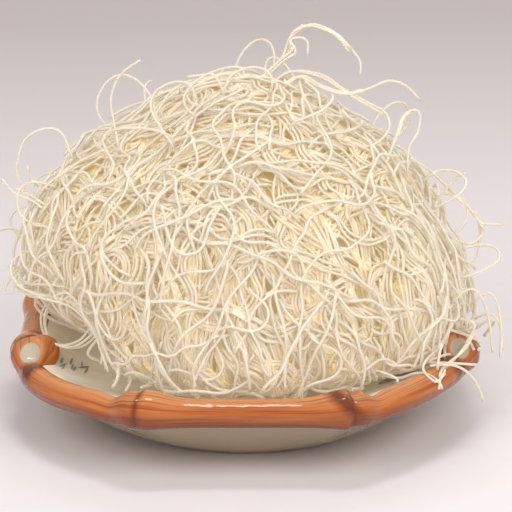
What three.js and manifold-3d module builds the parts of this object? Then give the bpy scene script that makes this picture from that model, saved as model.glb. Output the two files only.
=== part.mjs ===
// A heap of dried rice vermicelli in a shallow stoneware dish, whose rim is moulded as a frame of bent canes.
// Millimetres, +Z up, standing on z = 0, with the dish's axis as the Z axis. The front is towards -Y.
import * as THREE from "three";
import { mergeVertices } from "three/addons/utils/BufferGeometryUtils.js";
import Module from "manifold-3d";

const wasm = await Module();
wasm.setup();

// ---- driving dimensions -------------------------------------------------------------------------------------------
// The dish.
const SIDE_REACH = 73; // from the dish's axis to the middle of the cane on the left and right
const FRONT_REACH = 76; // and at the front and back
const SIDE_HALF_LENGTH = 27; // of the straight cane on the left and right
const FRONT_HALF_LENGTH = 35; // and at the front and back
const CORNER_SAG = 1.5; // how far the corner canes lie inside a round corner
const RIM_REACH = 81; // the mean reach of the rim
const RIM_HEIGHT = 25; // from the table to the middle of the cane
const CANE_RADIUS = 4.7;
const KNUCKLE_SWELL = 1.8; // how much thicker a cane is where it meets the next one
const KNUCKLE_LIFT = 1.2;
const KNUCKLE_LENGTH = 8;
const FOOT_RADIUS = 50;
const FOOT_WIDTH = 5;
const FOOT_RECESS = 6;
const FLOOR_HEIGHT = 14.5; // the dish's inside, at its middle
const STUB_RADIUS = 5.6; // of a sawn-off cane end that lies on a knuckle
const STUB_LENGTH = 13;
const STUB_FACE_RADIUS = 3.6;
const STUB_FACE_DEPTH = 0.5;
const BUD_RADIUS = 2.1; // of a small cut twig
const BUD_LENGTH = 6;
// The heap.
const HEAP_HALF_WIDTH = 80;
const HEAP_HALF_DEPTH = 73;
const HEAP_MIDDLE_HEIGHT = 37; // the level at which it is widest
const HEAP_RISE = 82; // from there to its top
const HEAP_DROP = 20; // and to its underside
const HEAP_UPPER_ROUNDNESS = 1.65; // exponent of its section: 2 is an ellipse, less is more pointed
const HEAP_LOWER_ROUNDNESS = 2.6;
const HEAP_SEAT_RADIUS = 52; // where it stands on the dish's floor
const DISH_GAP = 0.4; // kept between the heap and the dish
const STRAND_DIAMETER = 1.4;

// ---- small helpers ------------------------------------------------------------------------------------------------
const vector = (x, y, z) => new THREE.Vector3(x, y, z);
const radians = THREE.MathUtils.degToRad;
const smooth = (t) => THREE.MathUtils.smoothstep(t, 0, 1);
const UP = vector(0, 0, 1);

// The closed solid of a three.js geometry, its shared vertices merged.
function solidOf(geometry) {
  const bare = geometry.clone();
  bare.deleteAttribute("normal");
  bare.deleteAttribute("uv");
  const merged = mergeVertices(bare, 1e-3);
  const made = new wasm.Manifold(
    new wasm.Mesh({
      numProp: 3,
      vertProperties: merged.attributes.position.array,
      triVerts: new Uint32Array(merged.index.array),
    }),
  );
  return made;
}

// The three.js geometry of a solid.
function geometryOf(solid) {
  const mesh = solid.getMesh();
  const geometry = new THREE.BufferGeometry();
  geometry.setAttribute("position", new THREE.BufferAttribute(mesh.vertProperties, 3));
  geometry.setIndex(new THREE.BufferAttribute(mesh.triVerts, 1));
  geometry.computeVertexNormals();
  return geometry;
}

// Moves every vertex of a geometry to where move(vertex) puts it.
function reshape(geometry, move) {
  const places = geometry.attributes.position;
  for (let i = 0; i < places.count; i++) {
    const place = move(vector().fromBufferAttribute(places, i));
    places.setXYZ(i, place.x, place.y, place.z);
  }
  return geometry;
}

// ---- the dish -----------------------------------------------------------------------------------------------------
// The rim is eight-sided: four straight canes, with a slightly bowed one across each corner. A knuckle stands where two
// meet. Angles are counted from +X, within the first quarter, and the other quarters mirror it.
const SIDE_KNUCKLE = Math.atan2(SIDE_HALF_LENGTH, SIDE_REACH);
const FRONT_KNUCKLE = Math.atan2(FRONT_REACH, FRONT_HALF_LENGTH);
const SIDE_STEPS = 4; // facets on each stretch of a quarter
const CORNER_STEPS = 7;
const FRONT_STEPS = 4;
const QUARTER_STEPS = SIDE_STEPS + CORNER_STEPS + FRONT_STEPS;

// An angle's counterpart in the first quarter.
function folded(angle) {
  return Math.atan2(Math.abs(Math.sin(angle)), Math.abs(Math.cos(angle)));
}

// From the axis to the cane's middle, at an angle.
function rimReach(angle) {
  const quarter = folded(angle);
  if (quarter <= SIDE_KNUCKLE) return SIDE_REACH / Math.cos(quarter);
  if (quarter >= FRONT_KNUCKLE) return FRONT_REACH / Math.sin(quarter);
  const along = (quarter - SIDE_KNUCKLE) / (FRONT_KNUCKLE - SIDE_KNUCKLE);
  const atSide = SIDE_REACH / Math.cos(SIDE_KNUCKLE);
  const atFront = FRONT_REACH / Math.sin(FRONT_KNUCKLE);
  return THREE.MathUtils.lerp(atSide, atFront, along) - CORNER_SAG * Math.sin(Math.PI * along);
}

// How much of its swelling a cane has at an angle: all of it at a knuckle, on the straight side, and a slight waist
// just past it.
function knuckleAt(angle) {
  const quarter = folded(angle);
  const fromSide = (quarter - SIDE_KNUCKLE) * RIM_REACH;
  const fromFront = (FRONT_KNUCKLE - quarter) * RIM_REACH;
  const past = Math.min(fromSide, fromFront);
  if (past < 0) return Math.exp(-((past / KNUCKLE_LENGTH) ** 2));
  const waist = 0.4 * Math.exp(-(((past - KNUCKLE_LENGTH) / (KNUCKLE_LENGTH / 2)) ** 2));
  return Math.exp(-(((2 * past) / KNUCKLE_LENGTH) ** 2)) - waist;
}

// The angles of the dish's facets: closer together near the knuckles.
function facetAngle(step) {
  const quarter = Math.floor(step / QUARTER_STEPS);
  const place = step - quarter * QUARTER_STEPS;
  const mirrored = quarter % 2 === 1;
  const inQuarter = mirrored ? QUARTER_STEPS - place : place;
  const corner = FRONT_KNUCKLE - SIDE_KNUCKLE;
  const inCorner = (inQuarter - SIDE_STEPS) / CORNER_STEPS;
  const inFront = (QUARTER_STEPS - inQuarter) / FRONT_STEPS;
  let angle = SIDE_KNUCKLE + corner * inCorner;
  if (inCorner < 0) angle = SIDE_KNUCKLE * Math.sin((Math.PI / 2) * (inQuarter / SIDE_STEPS));
  if (inCorner > 1) angle = Math.PI / 2 - (Math.PI / 2 - FRONT_KNUCKLE) * Math.sin((Math.PI / 2) * inFront);
  return (quarter * Math.PI) / 2 + (mirrored ? Math.PI / 2 - angle : angle);
}

// The section of the dish from the foot's recess round to the middle of its floor, as radius and height, for a round
// rim. grow makes every wall thicker by that much, for cutting the heap clear of the dish.
const CANE_SIDES = 7;
function dishSection(grow) {
  const inFoot = FOOT_RADIUS - FOOT_WIDTH;
  const points = [
    [0, FOOT_RECESS],
    [inFoot - 2, FOOT_RECESS],
    [inFoot, 0],
    [FOOT_RADIUS + grow, 0],
    [FOOT_RADIUS + 7 + grow, 4],
    [FOOT_RADIUS + 19 + grow, 13.5],
  ];
  const from = radians(-115);
  const to = radians(125);
  for (let i = 0; i <= CANE_SIDES; i++) {
    const angle = from + ((to - from) * i) / CANE_SIDES;
    const radius = CANE_RADIUS + grow;
    points.push([RIM_REACH + radius * Math.cos(angle), RIM_HEIGHT + radius * Math.sin(angle)]);
  }
  points.push([67, 23 + grow]);
  points.push([52, 18 + grow]);
  points.push([34, 15.4 + grow]);
  points.push([0, FLOOR_HEIGHT + grow]);
  return points.map(([radius, height]) => new THREE.Vector2(radius, height));
}

// Turns the round section's solid into the dish's rounded square, with its knuckles.
function dishBody(grow) {
  const steps = 4 * QUARTER_STEPS;
  const lathe = new THREE.LatheGeometry(dishSection(grow), steps);
  return reshape(lathe, (p) => {
    const radius = Math.hypot(p.x, p.z);
    const step = Math.round(((Math.atan2(p.x, p.z) + 2 * Math.PI) / (2 * Math.PI)) * steps) % steps;
    const angle = facetAngle(step);
    const squareness = smooth((radius - FOOT_RADIUS) / (RIM_REACH - CANE_RADIUS - FOOT_RADIUS));
    const knuckle = knuckleAt(angle);
    const fromCane = vector(radius - RIM_REACH, 0, p.y - RIM_HEIGHT);
    const onCane = fromCane.length() < CANE_RADIUS + grow + 0.1;
    const swell = onCane ? 1 + (knuckle * KNUCKLE_SWELL) / CANE_RADIUS : 1;
    const lift = onCane ? knuckle * KNUCKLE_LIFT : 0;
    const caneReach = rimReach(angle) + fromCane.x * swell;
    const bowlReach = radius * (1 + (rimReach(angle) / RIM_REACH - 1) * squareness);
    const reach = onCane ? caneReach : bowlReach;
    const height = onCane ? RIM_HEIGHT + fromCane.z * swell + lift : p.y;
    return vector(reach * Math.cos(angle), reach * Math.sin(angle), height);
  });
}

// A solid of revolution whose axis runs from a point along a direction.
function turned(outline, from, direction, sides) {
  const lathe = new THREE.LatheGeometry(outline.map(([radius, along]) => new THREE.Vector2(radius, along)), sides);
  lathe.applyQuaternion(new THREE.Quaternion().setFromUnitVectors(vector(0, 1, 0), direction.clone().normalize()));
  lathe.translate(from.x, from.y, from.z);
  return solidOf(lathe);
}

// The sawn-off cane ends that lie on the knuckles of the left and right sides: [x, y, direction] for the left pair.
const STUBS = [
  [-SIDE_REACH + 3.5, 5 - SIDE_HALF_LENGTH, [-0.12, -0.85, 0.42]],
  [-SIDE_REACH + 5, SIDE_HALF_LENGTH - 3, [-0.55, 0.3, 0.78]],
];

function stub([x, y, [wayX, wayY, wayZ]], side, grow) {
  const from = vector(side * -x, y, RIM_HEIGHT);
  const direction = vector(side * -wayX, wayY, wayZ);
  const radius = STUB_RADIUS + grow;
  const length = STUB_LENGTH + grow;
  const outline = [
    [0, 0],
    [radius * 0.85, 0],
    [radius, length * 0.7],
    [radius * 0.9, length - 0.7],
    [STUB_FACE_RADIUS + 0.3, length],
    [STUB_FACE_RADIUS, length - STUB_FACE_DEPTH],
    [0, length - STUB_FACE_DEPTH],
  ];
  return turned(outline, from, direction, 14);
}

// A small cut twig on the inner side of a knuckle of the front or back cane.
function bud(sideX, sideY, grow) {
  const from = vector(sideX * (FRONT_HALF_LENGTH - 2), sideY * (FRONT_REACH - 3), RIM_HEIGHT + 2);
  const direction = vector(0.6 * sideX, -0.45 * sideY, 0.35);
  const radius = BUD_RADIUS + grow;
  const length = BUD_LENGTH + grow;
  const outline = [
    [0, 0],
    [radius, 0],
    [radius * 0.85, length - 0.5],
    [radius * 0.6, length],
    [0, length],
  ];
  return turned(outline, from, direction, 8);
}

// The whole dish: one fired piece.
function dishSolid(grow) {
  let solid = solidOf(dishBody(grow));
  for (const side of [-1, 1]) {
    for (const place of STUBS) solid = solid.add(stub(place, side, grow));
    for (const end of [-1, 1]) solid = solid.add(bud(side, end, grow));
  }
  return solid;
}

// ---- the heap -----------------------------------------------------------------------------------------------------
const HEAP_MIDDLE = vector(0, 0, HEAP_MIDDLE_HEIGHT);

// Where the heap swells and sinks: [azimuth from the front, elevation, width in degrees, swelling in mm].
const HEAP_LOBES = [
  [-75, 32, 24, 4],
  [-92, -6, 24, -8],
  [62, 2, 26, 5],
  [62, 44, 20, 4],
  [-20, 40, 22, 2],
  [-30, 84, 20, 2],
  [-62, 58, 18, -3],
  [24, 58, 16, -2],
  [-52, -14, 26, -14],
  [44, -18, 22, -8],
  [128, 15, 30, 4],
  [-135, 28, 28, 3],
  [172, 50, 26, -3],
];

// The unit vector at an azimuth, counted from the front towards +X, and an elevation.
function outwards(azimuth, elevation) {
  const a = radians(azimuth);
  const e = radians(elevation);
  return vector(Math.sin(a) * Math.cos(e), -Math.cos(a) * Math.cos(e), Math.sin(e));
}

// From the heap's middle to its surface, along a unit vector.
function heapReach(way) {
  const level = Math.hypot(way.x / HEAP_HALF_WIDTH, way.y / HEAP_HALF_DEPTH);
  const upright = Math.abs(way.z) / (way.z > 0 ? HEAP_RISE : HEAP_DROP);
  const roundness = way.z > 0 ? HEAP_UPPER_ROUNDNESS : HEAP_LOWER_ROUNDNESS;
  let reach = (level ** roundness + upright ** roundness) ** (-1 / roundness);
  for (const [azimuth, elevation, width, swelling] of HEAP_LOBES) {
    const apart = way.angleTo(outwards(azimuth, elevation)) / radians(width);
    reach += swelling * Math.exp(-apart * apart);
  }
  return reach;
}

// The folds that locks of strands make on it: shallow waves that run down the sides and swirl over the top.
function heapFolds(way) {
  const azimuth = Math.atan2(way.x, -way.y);
  const elevation = Math.asin(THREE.MathUtils.clamp(way.z, -1, 1));
  const side = Math.cos(elevation);
  const drift = 2.2 * Math.sin(3.1 * elevation + 1.3 * Math.sin(2 * azimuth));
  return side * (1.5 * Math.sin(13 * azimuth + drift) + 0.9 * Math.sin(7 * elevation + 5 * azimuth));
}

// The core that the strands lie on: a closed solid a little inside their tops.
const CORE_INSET = 1.6;
const CORE_DETAIL = 10;
function heapCore() {
  const ball = new THREE.IcosahedronGeometry(1, CORE_DETAIL);
  const body = reshape(ball, (p) => {
    const way = p.normalize();
    const reach = heapReach(way) - CORE_INSET + heapFolds(way);
    return way.clone().multiplyScalar(reach).add(HEAP_MIDDLE);
  });
  const seat = new THREE.CylinderGeometry(HEAP_SEAT_RADIUS, HEAP_SEAT_RADIUS - 8, 20, 32);
  seat.rotateX(Math.PI / 2);
  seat.translate(0, 0, FLOOR_HEIGHT + 10);
  return solidOf(body).add(solidOf(seat));
}

// One strand along points, with a square section of the strand's own size.
const STRAND_STEP = 5;
function strand(points) {
  const half = STRAND_DIAMETER / 2;
  const section = new THREE.Shape();
  section.moveTo(half, 0);
  section.lineTo(0, half);
  section.lineTo(-half, 0);
  section.lineTo(0, -half);
  section.closePath();
  const path = new THREE.CatmullRomCurve3(points);
  const steps = Math.max(3, Math.round(path.getLength() / STRAND_STEP));
  return solidOf(new THREE.ExtrudeGeometry(section, { steps, extrudePath: path, bevelEnabled: false }));
}

// A point on the heap, or above it by a height.
function onHeap(azimuth, elevation, height) {
  const way = outwards(azimuth, elevation);
  return way.clone().multiplyScalar(heapReach(way) + height).add(HEAP_MIDDLE);
}

// Strands that spring from the heap and return to it: [azimuth and elevation of one foot and of the other, height of
// the arch over them, how far it bellies out past them, and how far it leans to +X and to +Y], angles in degrees.
const ROOT = 3; // how deep a strand's foot is sunk
const LOOPS = [
  [80, 82, 88, 64, 17, 3, -1, -4], // the tall arch over the top
  [84, 78, 80, 70, 12, 2, -1, -6],
  [-86, 64, -84, 74, 12, 3, -2, 2],
  [-88, 36, -80, 46, 11, 4, 0, -3],
  [66, 58, 84, 52, 8, 4, 3, -3],
  [84, 52, 78, 42, 11, 3, 2, 2],
  [-24, 80, 30, 78, 5, 2, 2, 3],
  [-40, 70, -20, 76, 8, 3, -3, 4],
  [-70, 52, -40, 60, 7, 3, -2, -2],
  [30, 66, 58, 66, 6, 3, 3, -3],
  [-80, 24, -86, 33, 7, 4, -2, 3],
  [-70, 8, -78, 16, 6, 3, -2, -3],
  [-92, 14, -100, 22, 8, 3, -2, 2],
  [74, 30, 84, 36, 8, 3, 2, -2],
  [70, 12, 82, 16, 7, 4, 3, 2],
  [120, 40, 112, 50, 10, 4, 3, 4],
  [150, 58, 168, 60, 13, 4, -4, 3],
  [-120, 46, -128, 58, 12, 4, -3, 4],
  [-152, 30, -140, 34, 10, 4, 2, 4],
  [165, 24, 176, 32, 9, 4, -3, 4],
  [-110, 16, -118, 25, 8, 3, -3, 2],
  [112, 10, 120, 18, 8, 4, 4, 2],
  [-170, 72, 150, 76, 11, 3, 3, 4],
];

const LOOP_POINTS = 9;
function loopStrand([azimuthA, elevationA, azimuthB, elevationB, height, belly, leanX, leanY]) {
  const a = onHeap(azimuthA, elevationA, -ROOT);
  const b = onHeap(azimuthB, elevationB, -ROOT);
  const along = b.clone().sub(a).normalize();
  const out = a.clone().add(b).multiplyScalar(0.5).sub(HEAP_MIDDLE).normalize();
  const points = [];
  for (let i = 0; i < LOOP_POINTS; i++) {
    const u = i / (LOOP_POINTS - 1);
    const arch = Math.sin(Math.PI * u);
    const place = a.clone().lerp(b, (1 - Math.cos(Math.PI * u)) / 2);
    place.addScaledVector(along, -belly * Math.sin(2 * Math.PI * u));
    place.addScaledVector(out, (height + ROOT) * arch ** 0.9);
    place.add(vector(leanX, leanY, 0).multiplyScalar(arch * arch));
    points.push(place);
  }
  return strand(points);
}

// Strands that leave the heap and end in the air: [azimuth, elevation, reach out, rise, sideways sweep, curl].
const ENDS = [
  [88, 24, 12, -3, 3, 5],
  [84, 30, 8, 5, -4, 3],
  [66, 64, 8, 7, 16, -3],
  [72, 60, 7, -4, 22, 4],
  [-66, 50, 9, 17, 7, -4],
  [-88, 32, 8, 4, 5, -3],
  [-95, 14, 14, -2, 8, 4],
  [74, 4, 8, -26, 2, 7],
  [62, 8, 9, -24, 5, 8],
  [80, -2, 7, -8, -6, 4],
  [140, 20, 10, 4, 8, 5],
  [-140, 44, 10, 6, -8, 4],
  [-168, 14, 8, -6, 8, 5],
];

const END_POINTS = 7;
function endStrand([azimuth, elevation, reach, rise, sweep, curl]) {
  const foot = onHeap(azimuth, elevation, -ROOT);
  const way = outwards(azimuth, elevation);
  const east = vector(Math.cos(radians(azimuth)), Math.sin(radians(azimuth)), 0);
  const points = [];
  for (let i = 0; i < END_POINTS; i++) {
    const u = i / (END_POINTS - 1);
    const place = foot.clone();
    place.addScaledVector(way, (reach + ROOT) * Math.sin((Math.PI / 2) * u));
    place.addScaledVector(east, sweep * u * u);
    place.addScaledVector(UP, rise * u * u + curl * Math.sin(Math.PI * u));
    points.push(place);
  }
  return strand(points);
}

// Strands that lie on the heap, spread by the golden angle, each wandering down it.
const LYING_HEIGHT = 0.6; // how far its middle is above the core
const LYING_COUNT = 17;
const GOLDEN_ANGLE = 137.508;
const LYING_POINTS = 10;
function lyingStrand(index) {
  const share = (index + 0.5) / LYING_COUNT;
  const top = 80 - 46 * share;
  const drop = 42 + 8 * Math.sin(index * 2.4);
  const swing = 9 / Math.cos(radians(Math.max(0, top - drop / 2)));
  const points = [];
  for (let i = 0; i < LYING_POINTS; i++) {
    const u = i / (LYING_POINTS - 1);
    const azimuth = index * GOLDEN_ANGLE + swing * Math.sin(Math.PI * (1.3 * u + 0.7 * index));
    const way = outwards(azimuth, top - drop * u);
    const height = heapFolds(way) - CORE_INSET + LYING_HEIGHT;
    points.push(onHeap(azimuth, top - drop * u, height));
  }
  return strand(points);
}

// The core with the strands that stay clear of the dish. Scraps that nothing holds are dropped.
function heapSolid() {
  const kept = dishSolid(DISH_GAP);
  const strands = [
    ...LOOPS.map(loopStrand),
    ...ENDS.map(endStrand),
    ...Array.from({ length: LYING_COUNT }, (_, i) => lyingStrand(i)),
  ];
  const core = heapCore().subtract(kept);
  const clear = strands.filter((piece) => piece.intersect(kept).isEmpty());
  const heap = clear.reduce((solid, piece) => solid.add(piece), core);
  return heap.decompose().sort((a, b) => b.volume() - a.volume())[0];
}

// ---- the scene graph ----------------------------------------------------------------------------------------------
function named(name, solid, material) {
  const mesh = new THREE.Mesh(geometryOf(solid), material);
  mesh.name = name;
  return mesh;
}

const glaze = new THREE.MeshStandardMaterial({ color: 0xd9cba8, roughness: 0.2, metalness: 0 });
const noodle = new THREE.MeshStandardMaterial({ color: 0xf0dcb8, roughness: 0.5, metalness: 0 });

const group = new THREE.Group();
group.add(named("dish", dishSolid(0), glaze));
group.add(named("vermicelli", heapSolid(), noodle));

export default group;
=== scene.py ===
"""A heap of dried rice vermicelli in a shallow glazed dish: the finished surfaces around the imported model."""
import math

import bpy
import numpy as np
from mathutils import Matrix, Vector
from mathutils.bvhtree import BVHTree


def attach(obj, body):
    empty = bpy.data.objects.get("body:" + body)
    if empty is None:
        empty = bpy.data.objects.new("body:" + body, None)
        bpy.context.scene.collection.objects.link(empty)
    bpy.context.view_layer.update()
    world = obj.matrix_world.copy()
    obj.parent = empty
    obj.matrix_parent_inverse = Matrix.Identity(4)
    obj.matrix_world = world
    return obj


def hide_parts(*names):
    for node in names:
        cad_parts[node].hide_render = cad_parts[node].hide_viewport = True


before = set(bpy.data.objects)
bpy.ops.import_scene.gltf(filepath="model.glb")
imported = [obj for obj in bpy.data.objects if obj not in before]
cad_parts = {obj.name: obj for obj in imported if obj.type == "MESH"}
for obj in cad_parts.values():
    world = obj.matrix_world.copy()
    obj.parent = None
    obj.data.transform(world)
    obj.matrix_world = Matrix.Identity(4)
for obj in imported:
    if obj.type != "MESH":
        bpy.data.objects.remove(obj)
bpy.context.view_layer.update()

bl_info = {
    "name": "Vermicelli Heap",
    "version": (1, 0, 0),
    "blender": (4, 5, 0),
    "location": "View3D > Sidebar > Vermicelli",
    "description": "Builds a heap of dried rice vermicelli in a glazed dish, and a plain studio around it",
    "category": "Object",
}

MM = 0.001
BODY = "root"
DISH = "dish"
HEAP = "vermicelli"


# ---- what a user would change ----------------------------------------------------------------
def length(name, description, millimetres):
    """A length property, its default given in millimetres."""
    return bpy.props.FloatProperty(
        name=name, description=description, default=millimetres * MM, min=0.0, precision=4, unit="LENGTH"
    )


def colour(name, description, red, green, blue):
    """A colour property, its default in linear light."""
    return bpy.props.FloatVectorProperty(
        name=name,
        description=description,
        default=(red, green, blue),
        size=3,
        min=0.0,
        max=1.0,
        subtype="COLOR",
    )


class DishSizes(bpy.types.PropertyGroup):
    """Sizes of the dish."""

    side_reach: length("Side reach", "From the axis to the middle of the left and right canes", 73)
    front_reach: length("Front reach", "From the axis to the middle of the front and back canes", 76)
    side_half_length: length("Side half length", "Half the length of the left and right canes", 27)
    front_half_length: length("Front half length", "Half the length of the front and back canes", 35)
    corner_sag: length("Corner sag", "How far the corner canes lie inside a round corner", 1.5)
    rim_reach: length("Rim reach", "Mean reach of the rim", 81)
    rim_height: length("Rim height", "From the table to the middle of the canes", 25)
    cane_radius: length("Cane radius", "Radius of a cane away from its knuckles", 4.7)
    knuckle_swell: length("Knuckle swell", "How much thicker a cane is at a knuckle", 1.8)
    knuckle_lift: length("Knuckle lift", "How much higher a cane is at a knuckle", 1.2)
    knuckle_length: length("Knuckle length", "How far a knuckle's swelling reaches", 8)
    foot_radius: length("Foot radius", "Outer radius of the foot ring", 50)
    stub_radius: length("Stub radius", "Radius of a sawn-off cane end", 5.6)
    stub_length: length("Stub length", "Length of a sawn-off cane end", 13)
    bud_radius: length("Bud radius", "Radius of a small cut twig", 2.1)
    bud_length: length("Bud length", "Length of a small cut twig", 6)


class HeapSizes(bpy.types.PropertyGroup):
    """Sizes of the heap and its strands."""

    half_width: length("Half width", "Half the heap's width at its widest level", 80)
    half_depth: length("Half depth", "Half the heap's depth at its widest level", 73)
    middle_height: length("Middle height", "The level at which the heap is widest", 37)
    rise: length("Rise", "From the widest level to the top", 82)
    drop: length("Drop", "From the widest level to the underside", 20)
    strand_diameter: length("Strand diameter", "Thickness of one strand", 1.1)
    bed_depth: length("Bed depth", "How deep the strands lie over the core", 4.4)
    seed: bpy.props.IntProperty(name="Seed", description="Changes the tangle", default=7, min=0)


class Finishes(bpy.types.PropertyGroup):
    """Colours of the finishes."""

    noodle: colour("Noodle", "Colour of a strand", 0.685, 0.59, 0.42)
    noodle_pale: colour("Pale noodle", "Colour of the whitest strands", 0.7, 0.63, 0.52)
    noodle_loose: colour("Loose noodle", "Colour of the whitest loose strands", 0.675, 0.62, 0.52)
    # Painted light: the golden colour and glow of the strands deep in the heap, for light scattered through it
    noodle_deep_glow: colour("Deep noodle", "Colour of the strands deep in the heap", 0.74, 0.635, 0.385)
    cane: colour("Cane", "Brown glaze where it is thick", 0.40, 0.092, 0.018)
    cane_light: colour("Light cane", "Brown glaze where it is thin", 0.65, 0.205, 0.052)
    # Also the painted shade under the canes and in the pits by the front sawn ends
    cane_dark: colour("Dark cane", "Brown glaze where it pools", 0.12, 0.018, 0.004)
    # Painted reflection: the lighter glaze colour along the tops of the canes
    cane_top_reflection: colour("Cane crest", "Brown glaze where it breaks on top of the canes", 0.74, 0.33, 0.14)
    bowl: colour("Bowl", "Cream glaze", 0.98, 0.93, 0.81)
    sawn: colour("Sawn face", "Cream glaze on the sawn ends of the canes", 0.59, 0.495, 0.38)
    # Painted shade: the cream glaze darkened on the dish's outside, which faces the table
    bowl_outside_shade: colour("Bowl outside", "Cream glaze over the darker outside", 0.42, 0.335, 0.235)
    foot: colour("Foot", "Bare clay of the foot ring", 0.50, 0.40, 0.29)
    mark: colour("Mark", "Grey brush strokes inside the bowl", 0.17, 0.17, 0.18)
    floor: colour("Floor", "The floor round the dish", 0.90, 0.855, 0.865)
    # Painted shade: the floor behind and the backdrop darkened for the light falling off away from the lamps
    backdrop: colour("Backdrop", "The floor far behind the dish, and the backdrop", 0.66, 0.60, 0.59)


# ---- vectors ---------------------------------------------------------------------------------
def unit(vectors):
    """Vectors scaled to length one."""
    return vectors / np.maximum(np.linalg.norm(vectors, axis=-1, keepdims=True), 1e-12)


def outwards(azimuth, elevation):
    """The unit vector at an azimuth in degrees, counted from the front towards +X, and an elevation."""
    a, e = np.radians(azimuth), np.radians(elevation)
    return np.stack([np.sin(a) * np.cos(e), -np.cos(a) * np.cos(e), np.sin(e)], axis=-1)


def sideways(azimuth):
    """The level unit vector across an azimuth in degrees."""
    return np.array([math.cos(math.radians(azimuth)), math.sin(math.radians(azimuth)), 0])


def flattened(vectors, ways):
    """The part of vectors that lies across unit vectors, scaled to length one."""
    return unit(vectors - ways * (vectors * ways).sum(axis=-1, keepdims=True))


def bump(x, width):
    """A smooth bump, 1 at 0, that has fallen to 1/e at its width."""
    return np.exp(-((x / width) ** 2))


def catmull_rom(points, spacing):
    """A smooth curve through points, sampled at about a spacing."""
    points = np.asarray(points, float)
    ends = np.concatenate([2 * points[:1] - points[1:2], points, 2 * points[-1:] - points[-2:-1]])
    made = []
    for i in range(len(points) - 1):
        a, b, c, d = ends[i : i + 4]
        steps = max(2, int(round(np.linalg.norm(c - b) / spacing)))
        t = (np.arange(steps) / steps)[:, None]
        curve = 2 * b + (c - a) * t + (2 * a - 5 * b + 4 * c - d) * t**2
        curve = curve + (3 * b - a - 3 * c + d) * t**3
        made.append(0.5 * curve)
    made.append(points[-1:])
    return np.concatenate(made)


# ---- meshes ----------------------------------------------------------------------------------
def mesh_object(name, vertices, loops, sizes, material):
    """An object from vertices, its faces' corners in a row, and the number of corners of each face."""
    mesh = bpy.data.meshes.new(name)
    loops = np.asarray(loops, np.int32)
    sizes = np.asarray(sizes, np.int32)
    mesh.vertices.add(len(vertices))
    mesh.vertices.foreach_set("co", np.asarray(vertices, np.float32).ravel())
    mesh.loops.add(len(loops))
    mesh.loops.foreach_set("vertex_index", loops)
    mesh.polygons.add(len(sizes))
    mesh.polygons.foreach_set("loop_start", np.concatenate([[0], np.cumsum(sizes)[:-1]]).astype(np.int32))
    mesh.update(calc_edges=True)
    mesh.validate()
    mesh.polygons.foreach_set("use_smooth", np.full(len(sizes), True))
    mesh.materials.append(material)
    made = bpy.data.objects.new(name, mesh)
    bpy.context.scene.collection.objects.link(made)
    return made


def point_values(made, name, values):
    """Stores one number for each vertex of an object, for its material."""
    made.data.attributes.new(name, "FLOAT", "POINT").data.foreach_set("value", np.asarray(values, np.float32))


def carry(made, node):
    """Makes a piece stand for a node of the model: hangs it on its body and hides the node."""
    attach(made, BODY)
    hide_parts(node)


def wound(rows, sides):
    """The four corners of each face between rings of vertices, facing outwards, and of its two caps."""
    j = np.arange(sides)
    k = (j + 1) % sides
    low = sides * np.arange(rows - 1)[:, None]
    quads = np.stack([low + j, low + sides + j, low + sides + k, low + k], axis=-1)
    return quads, j, sides * (rows - 1) + j[::-1]


def tube_rings(path, radius, sides, reference):
    """The rings of vertices round a path. reference points away from the heap at each point of the path."""
    along = unit(np.gradient(path, axis=0))
    side = unit(np.cross(along, reference))
    up = np.cross(side, along)
    turn = 2 * np.pi * np.arange(sides) / sides
    ring = np.cos(turn)[:, None] * side[:, None, :] + np.sin(turn)[:, None] * up[:, None, :]
    return path[:, None, :] + ring * np.asarray(radius).reshape(-1, 1, 1)


def joined(name, parts, material):
    """One object of several closed parts, each given as its rings of vertices."""
    loops, sizes, first = [], [], 0
    for rings in parts:
        rows, sides = rings.shape[:2]
        quads, cap, end_cap = wound(rows, sides)
        loops.append(first + np.concatenate([quads.ravel(), cap, end_cap]))
        sizes.append(np.concatenate([np.full((rows - 1) * sides, 4), [sides, sides]]))
        first += rows * sides
    vertices = np.concatenate([rings.reshape(-1, 3) for rings in parts])
    return mesh_object(name, vertices, np.concatenate(loops), np.concatenate(sizes), material)


def strand_mesh(name, strands, sides, material):
    """One mesh of many strands. Each is (path, radius, reference, tone, depth below the heap's surface)."""
    parts, tones, depths = [], [], []
    for path, radius, reference, tone, depth in strands:
        parts.append(tube_rings(path, radius, sides, reference))
        tones.append(np.full(len(path) * sides, tone))
        depths.append(np.repeat(np.broadcast_to(depth, len(path)), sides))
    made = joined(name, parts, material)
    point_values(made, "tone", np.concatenate(tones))
    point_values(made, "depth", np.concatenate(depths))
    return made


# ---- the dish's form -------------------------------------------------------------------------
# The rim is a frame of bent canes: four straight ones, and a slightly bowed one across each corner. Angles
# are counted from +X, and the form repeats, mirrored, in each quarter.

# The sawn-off ends of the left side: mm inside the rim and in front of the knuckle, and direction.
FRONT_STUB = ((6.0, -5.0), (-0.34, -0.80, 0.42))
BACK_STUB = ((5.0, 3.0), (-0.55, 0.3, 0.78))
STUB_DROP = 1.4 * MM  # how much lower the left front one is
OVAL = (0.88, 1.08)  # how much narrower and taller than round the front ones are
FACE_RADIUS = 3.5 * MM  # the cream face of a sawn end
FACE_DEPTH = 0.5 * MM
# The cane that curls round a front sawn end: how far it turns in degrees, its reach, and its thickness.
CURL_TURN = (108, -98)
CURL_REACH = ([0, 0.35, 0.65, 1], [-3, -4.5, -3.5, 1.5])
CURL_THICKNESS = ([0, 0.08, 0.55, 0.8, 1], [1.0, 1.9, 3.4, 2.8, 1.6])
CURL_RADIUS = 4.6 * MM
CURL_WIDENING = 1.5 * MM
CURL_STEPS = 24
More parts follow.
